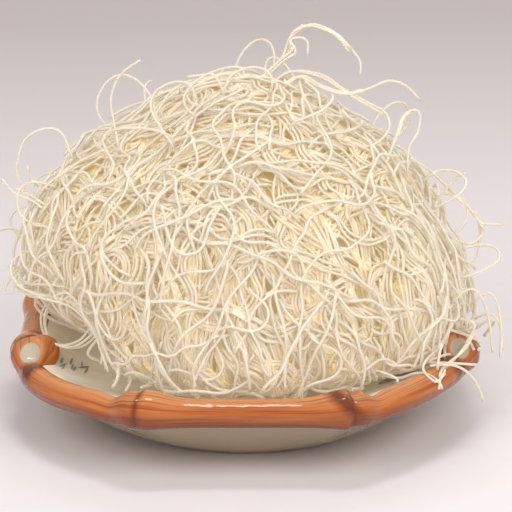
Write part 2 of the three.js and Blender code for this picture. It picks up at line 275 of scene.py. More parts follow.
# The dark pits beside a front sawn end, under the curl: painted shade, and glaze that pools there. Place from a
# point on its line, and width, in mm.
PIT_REACH = 11 * MM
PITS_IN_SHADE = (((2.1, -10.4, -2.4), 4.6), ((-2.4, -8.9, -0.9), 3.6))
GROOVE_INSET = 3.2 * MM  # from the corner of the rim to the groove at a straight cane's end
VALLEY_WIDTH = 3.6 * MM
BOW_OUT = 2.2 * MM
BOW_DOWN = 2.0 * MM
BUD_DIRECTION = (0.6, -0.45, 0.35)  # of the small twig at the right rear knuckle
SKIN_VOXEL = 0.66 * MM
SKIN_SMOOTHING = 2
GRAIN_LENGTH = 10 * MM  # one unit of the glaze's streaks along a cane
STUB_GRAIN = 40  # where along them a sawn end's streaks start, to differ from its cane's


def folded(angle):
    """An angle's counterpart in the first quarter."""
    return np.arctan2(np.abs(np.sin(angle)), np.abs(np.cos(angle)))


def knuckle_angles(dish):
    """The angles of the side knuckle and of the front knuckle, in the first quarter."""
    side = math.atan2(dish.side_half_length, dish.side_reach)
    front = math.atan2(dish.front_reach, dish.front_half_length)
    return side, front


def bow(angle, dish):
    """How much of its bow outwards and down the front left corner has, from 0 to 1."""
    side, front = knuckle_angles(dish)
    along = np.clip((folded(angle) - side) / (front - side), 0, 1)
    in_corner = (np.cos(angle) < 0) & (np.sin(angle) < 0)
    return np.where(in_corner, np.sin(np.pi * along**0.62) ** 1.5, 0)


def rim_reach(angle, dish):
    """From the axis to the middle of the canes."""
    side, front = knuckle_angles(dish)
    quarter = folded(angle)
    along = np.clip((quarter - side) / (front - side), 0, 1)
    at_side = dish.side_reach / math.cos(side)
    at_front = dish.front_reach / math.sin(front)
    corner = at_side + (at_front - at_side) * along - dish.corner_sag * np.sin(np.pi * along)
    corner = corner + BOW_OUT * bow(angle, dish)
    beside = dish.side_reach / np.cos(np.minimum(quarter, side))
    ahead = dish.front_reach / np.sin(np.maximum(quarter, front))
    return np.where(quarter < side, beside, np.where(quarter > front, ahead, corner))


def knuckle_past(angle, dish):
    """How far past the nearest knuckle an angle is: less than nothing on a straight cane."""
    side, front = knuckle_angles(dish)
    quarter = folded(angle)
    return np.minimum(quarter - side, front - quarter) * dish.rim_reach


def knuckle_at(past, dish):
    """How much of its swelling a cane has: all of it at a knuckle, and a slight waist past it."""
    span = dish.knuckle_length
    waist = 0.4 * bump(past - span, span / 2)
    return np.where(past < 0, bump(past, span), bump(past, span / 2) - waist)


def valley_at(angle, dish):
    """How deep the glaze-filled valley past the right end of the front cane is."""
    front = knuckle_angles(dish)[1]
    turn = np.angle(np.exp(1j * (np.asarray(angle) + front)))
    return bump(turn * dish.rim_reach + 0.6 * MM, VALLEY_WIDTH)


def tube(path, radii, sides=20):
    """A closed tube, as its rings of vertices."""
    path = np.asarray(path, float)
    along = unit(np.gradient(path, axis=0))
    reference = np.where(np.abs(along[:, 2:3]) < 0.9, [0.0, 0.0, 1.0], [1.0, 0.0, 0.0])
    return tube_rings(path, np.broadcast_to(radii, len(path)), sides, reference)


def turned(outline, start, direction, stretch=(1.0, 1.0), sides=32):
    """A solid of revolution round a line, as its rings. outline is (radius, distance along the line)."""
    axis = unit(np.asarray(direction, float))
    side = unit(np.cross(axis, [0.0, 0.0, 1.0]))
    up = np.cross(side, axis)
    turn = 2 * np.pi * np.arange(sides) / sides
    ring = np.cos(turn)[:, None] * side * stretch[0] + np.sin(turn)[:, None] * up * stretch[1]
    outline = np.asarray(outline, float)
    return np.asarray(start) + outline[:, 1, None, None] * axis + outline[:, 0, None, None] * ring


def stubs(dish):
    """The sawn-off cane ends as (start, direction, side of the dish, is at the front)."""
    made = []
    for side in (-1, 1):
        for (inside, along), (x, y, z), front in ((*FRONT_STUB, True), (*BACK_STUB, False)):
            knuckle = -dish.side_half_length if front else dish.side_half_length
            low = STUB_DROP if front and side < 0 else 0
            reach = side * (dish.side_reach - inside * MM)
            start = np.array([reach, knuckle - along * MM, dish.rim_height - low])
            made.append((start, unit(np.array([-side * x, y, z])), side, front))
    return made


def straight_cane(middle, way, half, dish):
    """A straight cane of the rim, rounded at its two ends, which lie a little inside the corners."""
    half = half - GROOVE_INSET
    s = np.concatenate([
        np.arange(0, half - 0.5 * MM, 0.8 * MM),
        half + np.array([0, 0.5, 0.9, 1.2, 1.3]) * MM,
    ])
    past = s - half
    knuckle = bump(np.minimum(past, 0), dish.knuckle_length)
    radius = dish.cane_radius + dish.knuckle_swell * knuckle
    edge = np.clip(past / (1.3 * MM), 0, 1)
    radius = radius - 1.5 * MM * (1 - np.sqrt(1 - 0.98 * edge**2))
    lift = dish.knuckle_lift * knuckle
    s = np.concatenate([-s[:0:-1], s])
    radius = np.concatenate([radius[:0:-1], radius])
    lift = np.concatenate([lift[:0:-1], lift])
    path = np.asarray(middle) + s[:, None] * np.asarray(way) + lift[:, None] * np.array([0, 0, 1.0])
    return tube(path, radius)


def corner_cane(start_angle, stop_angle, dish):
    """A bowed cane across a corner, its ends inside the straight ones."""
    over = (GROOVE_INSET + 2.5 * MM) / dish.rim_reach
    angle = np.linspace(start_angle - over, stop_angle + over, 90)
    reach = rim_reach(angle, dish)
    past = np.maximum(knuckle_past(angle, dish), 0)
    knuckle = knuckle_at(past, dish)
    radius = dish.cane_radius + 0.75 * dish.knuckle_swell * knuckle
    height = dish.rim_height + dish.knuckle_lift * knuckle
    valley = valley_at(angle, dish)
    radius = radius - 1.0 * MM * valley
    height = height - 0.5 * MM * valley - BOW_DOWN * bow(angle, dish)
    return tube(np.stack([reach * np.cos(angle), reach * np.sin(angle), height], axis=-1), radius)


def stub_parts(start, way, side, front, dish):
    """A sawn-off cane end with its hollowed face, and the cane that curls round the front ones."""
    radius, reach = dish.stub_radius, dish.stub_length
    outline = [
        (0.85 * radius, 0),
        (radius, 0.55 * reach),
        (radius, reach - 2.2 * MM),
        (0.96 * radius, reach - 1 * MM),
        (0.86 * radius, reach - 0.2 * MM),
        (0.76 * radius, reach),
        (0.68 * radius, reach - 0.1 * MM),
        (FACE_RADIUS, reach - FACE_DEPTH),
        (0.1 * MM, reach - FACE_DEPTH),
    ]
    parts = [turned(outline, start, way, OVAL if front else (1.0, 1.0))]
    if front:
        across = unit(np.cross(way, [0.0, 0.0, 1.0])) * -side
        up = unit(np.cross(across, way))
        up = up * np.sign(up[2])
        across = np.array([-side * abs(across[0]), across[1], across[2]])
        u = np.linspace(0, 1, CURL_STEPS)
        turn = np.radians(np.linspace(*CURL_TURN, CURL_STEPS))[:, None]
        ring = CURL_RADIUS + CURL_WIDENING * (1 - np.sin((turn + 1.3) / 2))
        further = np.interp(u, *CURL_REACH)[:, None] * MM
        path = start + way * (reach + further)
        path = path + ring * (np.cos(turn) * across + np.sin(turn) * up)
        parts.append(tube(path, np.interp(u, *CURL_THICKNESS) * MM))
    return parts


def buds(dish):
    """The small cut twigs on the inner sides of the front and rear knuckles, as (start, direction)."""
    made = []
    for side_x in (-1, 1):
        for side_y in (-1, 1):
            start = np.array([
                side_x * (dish.front_half_length - 2 * MM),
                side_y * (dish.front_reach - 3 * MM),
                dish.rim_height + 2 * MM,
            ])
            x, y, z = BUD_DIRECTION
            made.append((start, np.array([x * side_x, y * side_y, z])))
    return made


def bud_part(start, way, dish):
    """A small cut twig."""
    radius, reach = dish.bud_radius, dish.bud_length
    outline = [(radius, 0), (radius, 0.7 * reach), (0.85 * radius, reach - 0.5 * MM), (0.6 * radius, reach)]
    return turned(outline, start, way, sides=20)


def fused(made, voxel, rounds):
    """Fuses an object's overlapping parts into one skin and smooths it."""
    remesh = made.modifiers.new("fuse", "REMESH")
    remesh.mode = "VOXEL"
    remesh.voxel_size = voxel
    remesh.use_smooth_shade = True
    soften = made.modifiers.new("soften", "SMOOTH")
    soften.factor = 0.5
    soften.iterations = rounds
    bpy.context.view_layer.update()
    graph = bpy.context.evaluated_depsgraph_get()
    mesh = bpy.data.meshes.new_from_object(made.evaluated_get(graph))
    made.modifiers.clear()
    old = made.data
    made.data = mesh
    bpy.data.meshes.remove(old)
    mesh.polygons.foreach_set("use_smooth", np.ones(len(mesh.polygons), bool))


def places(made):
    """The places of an object's vertices."""
    co = np.empty(len(made.data.vertices) * 3, np.float32)
    made.data.vertices.foreach_get("co", co)
    return co.reshape(-1, 3).astype(float)


# The bowl's section, as (radius, height) in mm: down its inside, up its outside and round its foot.
BOWL_INSIDE = [(0, 14.5), (18, 14.6), (34, 15.4), (52, 18), (67, 23), (74, 26.2), (79, 27.2)]
BOWL_OUTSIDE = [(79.5, 23.5), (77, 19.6), (69, 13.5), (57, 4.2), (51.2, 1.1), (50, 0.25), (49, 0), (46.4, 0)]
BOWL_FOOT = [(45.4, 0.3), (44.6, 1.6), (43.6, 4.6), (42.4, 5.8), (40, 6), (0, 6)]
BOWL_SIDES = 180
SPRAYS = 9  # of brush strokes round the inside
STROKES = 9  # in a spray
MARKS_SEED = 11
FOOT_INSIDE = 43 * MM
BARE_HEIGHT = 1.2 * MM  # how far up the foot ring the clay shows bare


def bowl_place(radius, height, angle, dish):
    """Where a point of the round section lies once the dish is squared."""
    inner = dish.foot_radius
    share = np.clip((radius - inner) / (dish.rim_reach - dish.cane_radius - inner), 0, 1)
    squareness = share * share * (3 - 2 * share)
    reach = radius * (1 + (rim_reach(angle, dish) / dish.rim_reach - 1) * squareness)
    height = height - BOW_DOWN * bow(angle, dish) * squareness
    return np.stack([reach * np.cos(angle), reach * np.sin(angle), height + 0 * angle], axis=-1)


def inside_height(radius):
    """The height of the bowl's inside, at a radius of the round section."""
    table = np.array(BOWL_INSIDE) * MM
    return np.interp(radius, table[:, 0], table[:, 1])


# ---- the heap's form -------------------------------------------------------------------------
UPPER_ROUNDNESS = 1.65
LOWER_ROUNDNESS = 2.6
# Where the heap swells and sinks: azimuth from the front, elevation and width in degrees, swelling in mm.
HEAP_LOBES = [
    (-75, 32, 24, 4),
    (-92, -6, 24, -8),
    (62, 2, 26, 5),
    (62, 44, 20, 4),
    (-20, 40, 22, 2),
    (-30, 84, 20, 2),
    (-62, 58, 18, -3),
    (24, 58, 16, -2),
    (-52, -14, 26, -14),
    (44, -18, 22, -8),
    (128, 15, 30, 4),
    (-135, 28, 28, 3),
    (172, 50, 26, -3),
]


# How the tops of the strands stray from that form, in the same way.
STRAND_LOBES = [
    (70, 50, 26, -3.3),
    (84, 22, 20, -4),
    (-60, 56, 20, -4),
    (0, 88, 24, -2),
    (-90, 0, 20, 3),
    (-68, -16, 20, -19),
    (84, -4, 22, -5),
]
STRAND_INSET = 2.6 * MM  # how far inside that form they lie elsewhere


def swollen(reach, ways, lobes):
    """A reach along unit vectors, with swellings and hollows added."""
    for azimuth, elevation, width, swelling in lobes:
        apart = np.arccos(np.clip(ways @ outwards(azimuth, elevation), -1, 1))
        reach = reach + swelling * MM * bump(apart, np.radians(width))
    return reach


def heap_reach(ways, heap):
    """From the heap's middle to its surface, along unit vectors."""
    level = np.hypot(ways[..., 0] / heap.half_width, ways[..., 1] / heap.half_depth)
    rising = ways[..., 2] > 0
    upright = np.abs(ways[..., 2]) / np.where(rising, heap.rise, heap.drop)
    roundness = np.where(rising, UPPER_ROUNDNESS, LOWER_ROUNDNESS)
    return swollen((level**roundness + upright**roundness) ** (-1 / roundness), ways, HEAP_LOBES)


def heap_folds(ways):
    """The folds that locks of strands make on the heap."""
    azimuth = np.arctan2(ways[..., 0], -ways[..., 1])
    elevation = np.arcsin(np.clip(ways[..., 2], -1, 1))
    drift = 2.2 * np.sin(3.1 * elevation + 1.3 * np.sin(2 * azimuth))
    waves = 1.5 * np.sin(13 * azimuth + drift) + 0.9 * np.sin(7 * elevation + 5 * azimuth)
    return np.cos(elevation) * waves * MM


def strand_reach(ways, heap):
    """From the heap's middle to the tops of the strands that lie on it, along unit vectors."""
    return swollen(heap_reach(ways, heap) + heap_folds(ways) - STRAND_INSET, ways, STRAND_LOBES)


class Waves:
    """A smooth random vector field on the sphere of directions."""

    def __init__(self, rng, count, low, high, components):
        """count waves, with between low and high turns in a radian, for each component."""
        pitch = rng.uniform(low, high, (components, count, 1))
        self.vectors = unit(rng.normal(size=(components, count, 3))) * pitch
        self.phases = rng.uniform(0, 2 * np.pi, (components, count))
        self.scale = math.sqrt(2 / count)

    def __call__(self, ways):
        """The field along unit vectors."""
        turns = np.einsum("...k,cnk->...cn", ways, self.vectors) + self.phases
        return self.scale * np.sin(turns).sum(axis=-1)


class Surface:
    """The growing surface of the heap: its reach in each direction, on a map centred on straight up."""

    def __init__(self, heap, pitch, lowest):
        """pitch is the size of the map's cells, and lowest the elevation down to which it reaches."""
        self.middle = np.array([0.0, 0.0, heap.middle_height])
        self.angle = pitch / heap.half_width
        self.half = int(np.radians(90 - lowest) / self.angle)
        side = np.arange(-self.half, self.half + 1) * self.angle
        x, y = np.meshgrid(side, side, indexing="ij")
        tilt = np.hypot(x, y)
        share = np.sin(tilt) / np.maximum(tilt, 1e-9)
        self.ways = np.stack([x * share, y * share, np.cos(tilt)], axis=-1)
        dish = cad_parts[DISH].data
        self.dish = BVHTree.FromPolygons([v.co for v in dish.vertices], [p.vertices for p in dish.polygons])
        self.limit = self.dish_limit()
        self.target = np.minimum(strand_reach(self.ways, heap), self.limit)
        self.reach = np.minimum(self.target - heap.bed_depth, self.limit)

    def dish_limit(self):
        """How far a strand may lie from the heap's middle before it would cross the dish, on the map."""
        step, lowest = 2, -60
        azimuths = np.arange(-180, 181, step)
        elevations = np.arange(lowest, 11)
        table = np.full((len(azimuths), len(elevations)), 1.0)
        for i, azimuth in enumerate(azimuths):
            for j, elevation in enumerate(elevations):
                found = self.dish.ray_cast(Vector(self.middle), Vector(outwards(azimuth, elevation)))
                if found[0] is not None:
                    table[i, j] = found[3]
        table[:, 1:] = np.minimum(table[:, 1:], table[:, :-1])
        azimuth = np.degrees(np.arctan2(self.ways[..., 0], -self.ways[..., 1]))
        elevation = np.degrees(np.arcsin(np.clip(self.ways[..., 2], -1, 1)))
        i = np.clip(np.round((azimuth + 180) / step), 0, len(azimuths) - 1).astype(int)
        j = np.clip(np.round(elevation - lowest), 0, len(elevations) - 1).astype(int)
        return table[i, j]

    def cells(self, ways):
        """The map's cell of each direction."""
        tilt = np.arccos(np.clip(ways[..., 2], -1, 1))
        flat = np.maximum(np.hypot(ways[..., 0], ways[..., 1]), 1e-9)
        scale = tilt / flat / self.angle
        rows = np.clip(np.round(ways[..., 0] * scale) + self.half, 0, 2 * self.half).astype(int)
        columns = np.clip(np.round(ways[..., 1] * scale) + self.half, 0, 2 * self.half).astype(int)
        return rows, columns

    def clear_of_dish(self, path, gap):
        """A path pushed out of the dish, to a gap from it, and cut short where it would come out below."""
        made = np.array(path)
        for i, place in enumerate(path):
            found, normal, _, far = self.dish.find_nearest(Vector(place))
            away = Vector(place) - found
            if away.dot(normal) < 0 or far < gap:
                if normal.z < -0.2 and i > 3:
                    made = made[:i]
                    break
                made[i] = np.array(found + normal * gap)
        for _ in range(2):
            made[1:-1] = 0.25 * made[:-2] + 0.5 * made[1:-1] + 0.25 * made[2:]
        return made

    def lay(self, ways, radius, bend, cap, lift=0.0, leaves_mark=True):
        """Lays a stiff strand on the surface, along directions a step apart. Returns its path and its reach.

        bend is the radius to which it may bend, cap is how far over the heap's form it may lie, and lift is
        added to it at the end.
        """
        tangent = np.gradient(ways, axis=0)
        side = unit(np.cross(ways, tangent))
        offsets = radius * np.linspace(-0.92, 0.92, 5)
        here = self.reach[self.cells(ways)]
        spread = unit(ways[:, None, :] + side[:, None, :] * (offsets[None, :] / here[:, None])[..., None])
        cells = self.cells(spread)
        crown = np.sqrt(radius**2 - offsets**2)
        support = (self.reach[cells] + crown).max(axis=1)
        along = STEP * np.arange(len(ways))
        fall = (along[:, None] - along[None, :]) ** 2 / (2 * bend)
        height = (support[None, :] - fall).max(axis=1)
        height = np.minimum(height, self.target[self.cells(ways)] + cap)
        soft = int(SOFTENING / STEP)
        kernel = bump(np.arange(-2 * soft, 2 * soft + 1), soft * 1.2)
        kernel /= kernel.sum()
        padded = np.pad(height, 2 * soft, mode="edge")
        height = np.maximum(np.convolve(padded, kernel, mode="valid"), height - 0.15 * radius)
        height = height + lift
        if leaves_mark:
            np.maximum.at(self.reach, cells, height[:, None] + crown)
        return self.middle + ways * height[:, None], height


# ---- strands ---------------------------------------------------------------------------------
STEP = 0.6 * MM  # between the points of a strand while it is laid
LOOSE_STEP = 1.6 * MM  # between the points of a strand that stands clear
LOOSE_THICKNESS = 0.85  # of the loops and ends that stand clear, as a share of the others'
WALKS = 3000  # from which the strands of a layer are chosen
LONGEST_WALK = 95 * MM
SOFTENING = 3 * MM  # the length over which a laid strand is smoothed
SHARPEST_BEND = 0.6  # the most that a strand may turn from one point to the next, as a cosine
RING_EVERY = 3  # points of a laid strand for each of its rings of vertices
DISH_GAP = 0.25 * MM  # between a loose strand and the dish
DEPTH_UNIT = 10 * MM  # of the depth that the strands' material reads
FLOW_SWIRL = 0.5  # how strongly the strands swirl, against how they run down the heap
LOWEST = -26  # the elevation at which strands turn back uphill, in degrees
LOW_BAND = 0.16  # how gradually they do, as a share of the way up
UPHILL_TURN = 240  # and how sharply, in radians a metre
SHARPEST_TURN = 200
MAP_PITCH = 0.5 * MM
MAP_LOWEST = -38


def wander(rng, heap, flow, starts, headings, steps, curl, follow):
    """Walks over the heap from starting directions. Returns (walks, steps, 3) directions.

    curl and follow, in radians a metre, are how much they wind and how strongly they turn with the flow.
    """
    count = len(starts)
    ways = np.empty((count, steps, 3))
    way = unit(starts)
    heading = flattened(headings, way)
    waves = 5
    shortest, longest = math.log(10), math.log(60)
    lengths = np.exp(rng.uniform(shortest, longest, (count, waves))) * MM
    phases = rng.uniform(0, 2 * np.pi, (count, waves))
    sizes = rng.normal(size=(count, waves)) * curl[:, None] / math.sqrt(waves)
    lowest = math.sin(math.radians(LOWEST))
    for i in range(steps):
        ways[:, i] = way
        reach = heap_reach(way, heap)[:, None]
        drift = flow(way) * FLOW_SWIRL + np.array([0, 0, -1.0])
        drift = flattened(drift, way)
        drift *= np.sign((drift * heading).sum(axis=-1, keepdims=True) + 1e-9)
        turn = (np.cross(heading, drift) * way).sum(axis=-1) * follow
        turn += (sizes * np.sin(2 * np.pi * i * STEP / lengths + phases)).sum(axis=-1)
        uphill = np.array([0, 0, 1.0]) - way * way[:, 2:3]
        lowness = np.clip((lowest + LOW_BAND - way[:, 2]) / LOW_BAND, 0, 1)
        turn += np.sign((np.cross(heading, uphill) * way).sum(axis=-1)) * lowness * UPHILL_TURN
        turn = np.clip(turn, -SHARPEST_TURN, SHARPEST_TURN)
        heading = unit(heading + np.cross(way, heading) * (turn * STEP)[:, None])
        way = unit(way + heading * STEP / reach)
        heading = flattened(heading, way)
    return ways


def scattered_starts(rng, count, lowest):
    """Directions spread evenly over the heap above an elevation."""
    z = rng.uniform(math.sin(math.radians(lowest)), 1, count)
    turn = rng.uniform(0, 2 * np.pi, count)
    flat = np.sqrt(1 - z * z)
    return np.stack([flat * np.cos(turn), flat * np.sin(turn), z], axis=-1)


def bends_sharply(path):
    """Whether a strand turns too far for a brittle noodle between two of its points."""
    along = unit(np.gradient(path, axis=0))
    return (along[1:] * along[:-1]).sum(axis=1).min() < SHARPEST_BEND


def crosswise(path):
    """Vectors across a loose strand, to build its rings from."""
    along = unit(np.gradient(path, axis=0))
    return np.cross(along, unit(np.cross(along, [0.3, 1.0, 0.2])))


def kept_run(good):
    """The longest run of true values, as a slice."""
    best = slice(0, 0)
    start = None
    for i, value in enumerate(np.append(good, False)):
        if value and start is None:
            start = i
        elif not value and start is not None:
            if i - start > best.stop - best.start:
                best = slice(start, i)
            start = None
    return best


def weaving(rng, count, low, high):
    """A wave along a strand, as one number for each of its points; low and high bound its length in mm."""
    along = STEP * np.arange(count)
    return np.sin(2 * np.pi * along / (rng.uniform(low, high) * MM) + rng.uniform(0, 2 * np.pi))


class Tangle:
    """Lays strands on the heap and keeps their paths."""

    SHORTEST = 12 * MM

    def __init__(self, heap):
        """Starts with the bare core."""
        self.heap = heap
        self.rng = np.random.default_rng(heap.seed)
        self.surface = Surface(heap, MAP_PITCH, MAP_LOWEST)
        self.flow = Waves(self.rng, count=9, low=4, high=11, components=3)

    def pool(self, count, longest, curl, follow, crossing):
        """Walks to choose strands from. crossing is the share of them that runs across the others."""
        rng = self.rng
        starts = scattered_starts(rng, count, LOWEST)
        headings = rng.normal(size=(count, 3))
        drift = self.flow(starts) * FLOW_SWIRL + np.array([0, 0, -1.0])
        crosses = rng.random(count) < crossing
        headings = np.where(crosses[:, None], headings, drift)
        curls = rng.uniform(0.3, 1.0, count) * curl * np.where(crosses, 1.5, 1.0)
        follows = np.where(crosses, 0.1 * follow, follow)
        steps = int(longest / STEP)
        return wander(rng, self.heap, self.flow, starts, headings, steps, curls, follows)

    def keep(self, ways, path, height, radius, tone):
        """The part of a laid strand that stays clear of the dish, or None."""
        limit = self.surface.limit[self.surface.cells(ways)]
        run = kept_run(height + 1.2 * radius < limit)
        if (run.stop - run.start) * STEP < self.SHORTEST:
            return None
        return path[run], radius, ways[run], tone, height[run]

    def lock(self, walk, most, pitch):
        """A few strands side by side along a walk, fanning out at their ends, as (directions, span of it)."""
        rng = self.rng
        count = int(rng.integers(1, most + 1))
        tangent = np.gradient(walk, axis=0)
        side = unit(np.cross(walk, tangent)) / heap_reach(walk, self.heap)[:, None]
        u = np.linspace(-1, 1, len(walk))
        fan = rng.uniform(0.9, 1.1) + rng.uniform(0.1, 0.9) * u**2
        for i in range(count):
            start = int(len(walk) * rng.uniform(0, 0.25))
            stop = int(len(walk) * rng.uniform(0.7, 1))
            sway = weaving(rng, len(walk), 22, 45)
            aside = (i - (count - 1) / 2) * pitch * fan + rng.uniform(0, 0.6) * MM * sway
            yield unit(walk + side * aside[:, None])[start:stop], slice(start, stop)

    def fill(self, walks, total, most, pitch, bend, low, high):
        """Lays locks of strands where the heap still falls short of its form, until a total length is laid.

        most is how many strands a lock may have, pitch is their spacing in diameters, and low and high are
        how far over the form it may lie.
        """
        rng = self.rng
        surface = self.surface
        order = rng.permutation(len(walks))
        made, laid = [], 0.0
        tries, kept = 10, 3
        for start in range(0, len(order) - tries, tries):
            if laid > total:
                break
            group = order[start : start + tries]
            cells = surface.cells(walks[group][:, ::8])
            room = np.maximum(surface.target[cells] - surface.reach[cells] + high, 0)
            for pick in np.argsort(-((room**3).mean(axis=1)))[:kept]:
                walk = walks[group[pick]]
                weave = weaving(rng, len(walk), 28, 60)
                cap = rng.uniform(low, high) + rng.uniform(0.3, 1.6) * MM * weave
                for ways, span in self.lock(walk, most, pitch * self.heap.strand_diameter):
                    radius = self.heap.strand_diameter / 2 * rng.uniform(0.86, 1.08)
                    over = cap[span] + rng.uniform(-0.5, 0.5) * MM
                    path, height = surface.lay(ways, radius, bend, over)
                    strand = self.keep(ways, path, height, radius, rng.random())
                    if strand is not None:
                        made.append(strand)
                        laid += len(strand[0]) * STEP
        return made

    def with_depths(self, strands, every):
        """The strands with fewer rings, and with their reach turned into a depth below the heap's surface."""
        surface = self.surface
        made = []
        for path, radius, reference, tone, height in strands:
            reference, height = reference[::every], height[::every]
            depth = np.maximum(surface.reach[surface.cells(reference)] - height - radius, 0)
            made.append((path[::every], radius, reference, tone, depth / DEPTH_UNIT))
        return made

    def spill(self, row):
        """Strands that hang from the heap into the dish or over its rim."""
        rng = self.rng
        count, azimuths, elevations, reaches, rises, sweeps = row
        made = []
        for _ in range(count):
            azimuth, elevation = rng.uniform(*azimuths), rng.uniform(*elevations)
            way = outwards(azimuth, elevation)
            out = outwards(azimuth, 0)
            top = self.surface.middle + way * (strand_reach(way, self.heap) - 2 * MM)
            reach, rise, sweep = (rng.uniform(*span) * MM for span in (reaches, rises, sweeps))
            above = outwards(azimuth + rng.uniform(-12, 12), elevation + rng.uniform(10, 24))
            start = self.surface.middle + above * (strand_reach(above, self.heap) - 3 * MM)
            u = np.linspace(0, 1, 9)[:, None]
            curl, kink = rng.normal(0, 4.5, 3) * MM, rng.normal(0, 2.0, 3) * MM
            tail = top + out * reach * np.sin(np.pi / 2 * u) + sideways(azimuth) * sweep * u**2
            tail = tail + np.array([0, 0, 1]) * rise * u**1.5
            tail = tail + curl * np.sin(2 * np.pi * u) * u + kink * np.sin(3.5 * np.pi * u) * u
            path = catmull_rom(np.concatenate([[start], tail]), LOOSE_STEP)
            radius = self.heap.strand_diameter / 2 * rng.uniform(0.86, 1.05)
            path = self.surface.clear_of_dish(path, radius + DISH_GAP)
            if not bends_sharply(path):
                made.append((path, radius, crosswise(path), rng.random(), 0.0))
        return made

    def stray(self, walks, shortest, bend, low, high):
        """Lays walks that lift off the heap by between low and high, in an arch or at one end."""
        rng = self.rng
        made = []
        for walk in walks:
            count = int(rng.uniform(shortest / STEP, len(walk)))
            ways = walk[:count]
            u = np.linspace(0, 1, count)
            rise = rng.uniform(low, high)
            ends_free = rng.random() < 0.35
            lift = rise * (u**2 if ends_free else np.sin(np.pi * u) ** 1.5)
            radius = self.heap.strand_diameter / 2 * rng.uniform(0.84, 1.05)
            path, height = self.surface.lay(ways, radius, bend, 3 * MM, lift, leaves_mark=False)
            strand = self.keep(ways, path, height, radius, rng.random())
            if strand is not None:
                made.append(strand)
        return made


# The strands that spring furthest from the heap: azimuth and elevation of one foot and of the other, height
# of the arch over them, how far it bellies out past them, and its lean to +X and +Y; degrees and mm.
ROOT_DEPTH = 3  # mm inside the heap at which they start
LOOPS = [
    (-24, 80, 30, 78, 5, 2, 2, 3),
    (-40, 70, -20, 76, 8, 3, -3, 4),
    (-70, 52, -40, 60, 7, 3, -2, -2),
    (30, 66, 58, 66, 6, 3, 3, -3),
    (-80, 24, -86, 33, 7, 4, -2, 3),
    (-70, 8, -78, 16, 6, 3, -2, -3),
    (-92, 14, -100, 22, 8, 3, -2, 2),
    (74, 30, 84, 36, 8, 3, 2, -2),
    (70, 12, 82, 16, 7, 4, 3, 2),
    (120, 40, 112, 50, 10, 4, 3, 4),
    (150, 58, 168, 60, 13, 4, -4, 3),
    (-120, 46, -128, 58, 12, 4, -3, 4),
    (-152, 30, -140, 34, 10, 4, 2, 4),
    (165, 24, 176, 32, 9, 4, -3, 4),
    (-110, 16, -118, 25, 8, 3, -3, 2),
    (112, 10, 120, 18, 8, 4, 4, 2),
    (-170, 72, 150, 76, 11, 3, 3, 4),
]
# The strands that end in the air: azimuth, elevation, reach out, rise, sideways sweep and curl.
ENDS = [
    (84, 30, 8, 5, -4, 3),
    (-88, 32, 8, 4, 5, -3),
    (-95, 14, 14, -2, 8, 4),
    (74, 4, 8, -17, -5, 7),
    (62, 8, 9, -19, 7, 8),
    (80, -2, 7, -8, -6, 4),
    (140, 20, 10, 4, 8, 5),
    (-140, 44, 10, 6, -8, 4),
    (-168, 14, 8, -6, 8, 5),
]


# The strands that stand out most: how many shorter ones run beside each, and its places from its root on,
# in mm.
FREE_STRANDS = [
    (3, [(-6, -6, 104), (0, 0, 110), (9, 4, 118), (14, 6, 122), (15, 8, 127), (18, 10, 130),
         (24, 11, 131), (31, 11, 128), (36, 10, 123), (39, 8, 119), (39, 6, 115)]),
    (2, [(-4, -8, 104), (1, 0, 110), (11, 3, 120), (16, 4, 124), (15, 5, 127), (18, 5, 128),
         (21, 4, 127), (21, 3, 122)]),
    (2, [(2, -10, 104), (0, 0, 111), (-2, 3, 116), (-7, 4, 116), (-14, 4, 114), (-20, 3, 113),
         (-26, 0, 109), (-31, -6, 102)]),
    (1, [(-23, -26, 98), (-27, -18, 102), (-30, -12, 107), (-30, -8, 111), (-27, -6, 114),
         (-21, -6, 115), (-17, -8, 113), (-16, -12, 109), (-17, -20, 104), (-21, -28, 98)]),
    (1, [(12, -4, 112), (19, 0, 116), (26, -2, 113), (34, -4, 111), (40, -4, 112), (48, -3, 115),
         (54, -2, 113), (59, -2, 108)]),
    (2, [(8, 0, 112), (16, 2, 117), (26, 1, 116), (33, -2, 112), (41, -5, 108), (47, -7, 105),
         (48, -10, 100), (43, -14, 96), (36, -18, 96)]),
    (1, [(47, -14, 89), (51, -7, 98), (53, -4, 103), (57, -3, 105), (59, -3, 103), (58, -6, 98),
         (55, -10, 94), (54, -16, 87)]),
    (0, [(-42, -8, 92), (-44, -3, 101), (-45, -1, 107), (-44, 0, 112), (-41, 1, 117), (-35, 2, 121)]),
    (0, [(-72, -4, 74), (-77, -4, 83), (-76, -4, 90), (-74, -4, 95), (-70, -4, 98), (-65, -4, 99),
         (-61, -5, 97), (-58, -8, 90)]),
    (1, [(-60, -14, 66), (-67, -11, 72), (-72, -8, 75), (-78, -6, 77), (-82, -6, 82)]),
    (1, [(55, -10, 90), (62, -6, 85), (68, -6, 79), (75, -5, 72), (80, -4, 66), (81, -5, 62),
         (77, -7, 59), (72, -10, 61)]),
    (0, [(68, -8, 78), (75, -5, 72), (80, -4, 66), (84, -4, 65), (88, -4, 65)]),
    (0, [(78, -6, 70), (80, -4, 64), (80, -5, 60), (79, -7, 54), (75, -10, 50), (68, -14, 50),
         (62, -18, 52)]),
]


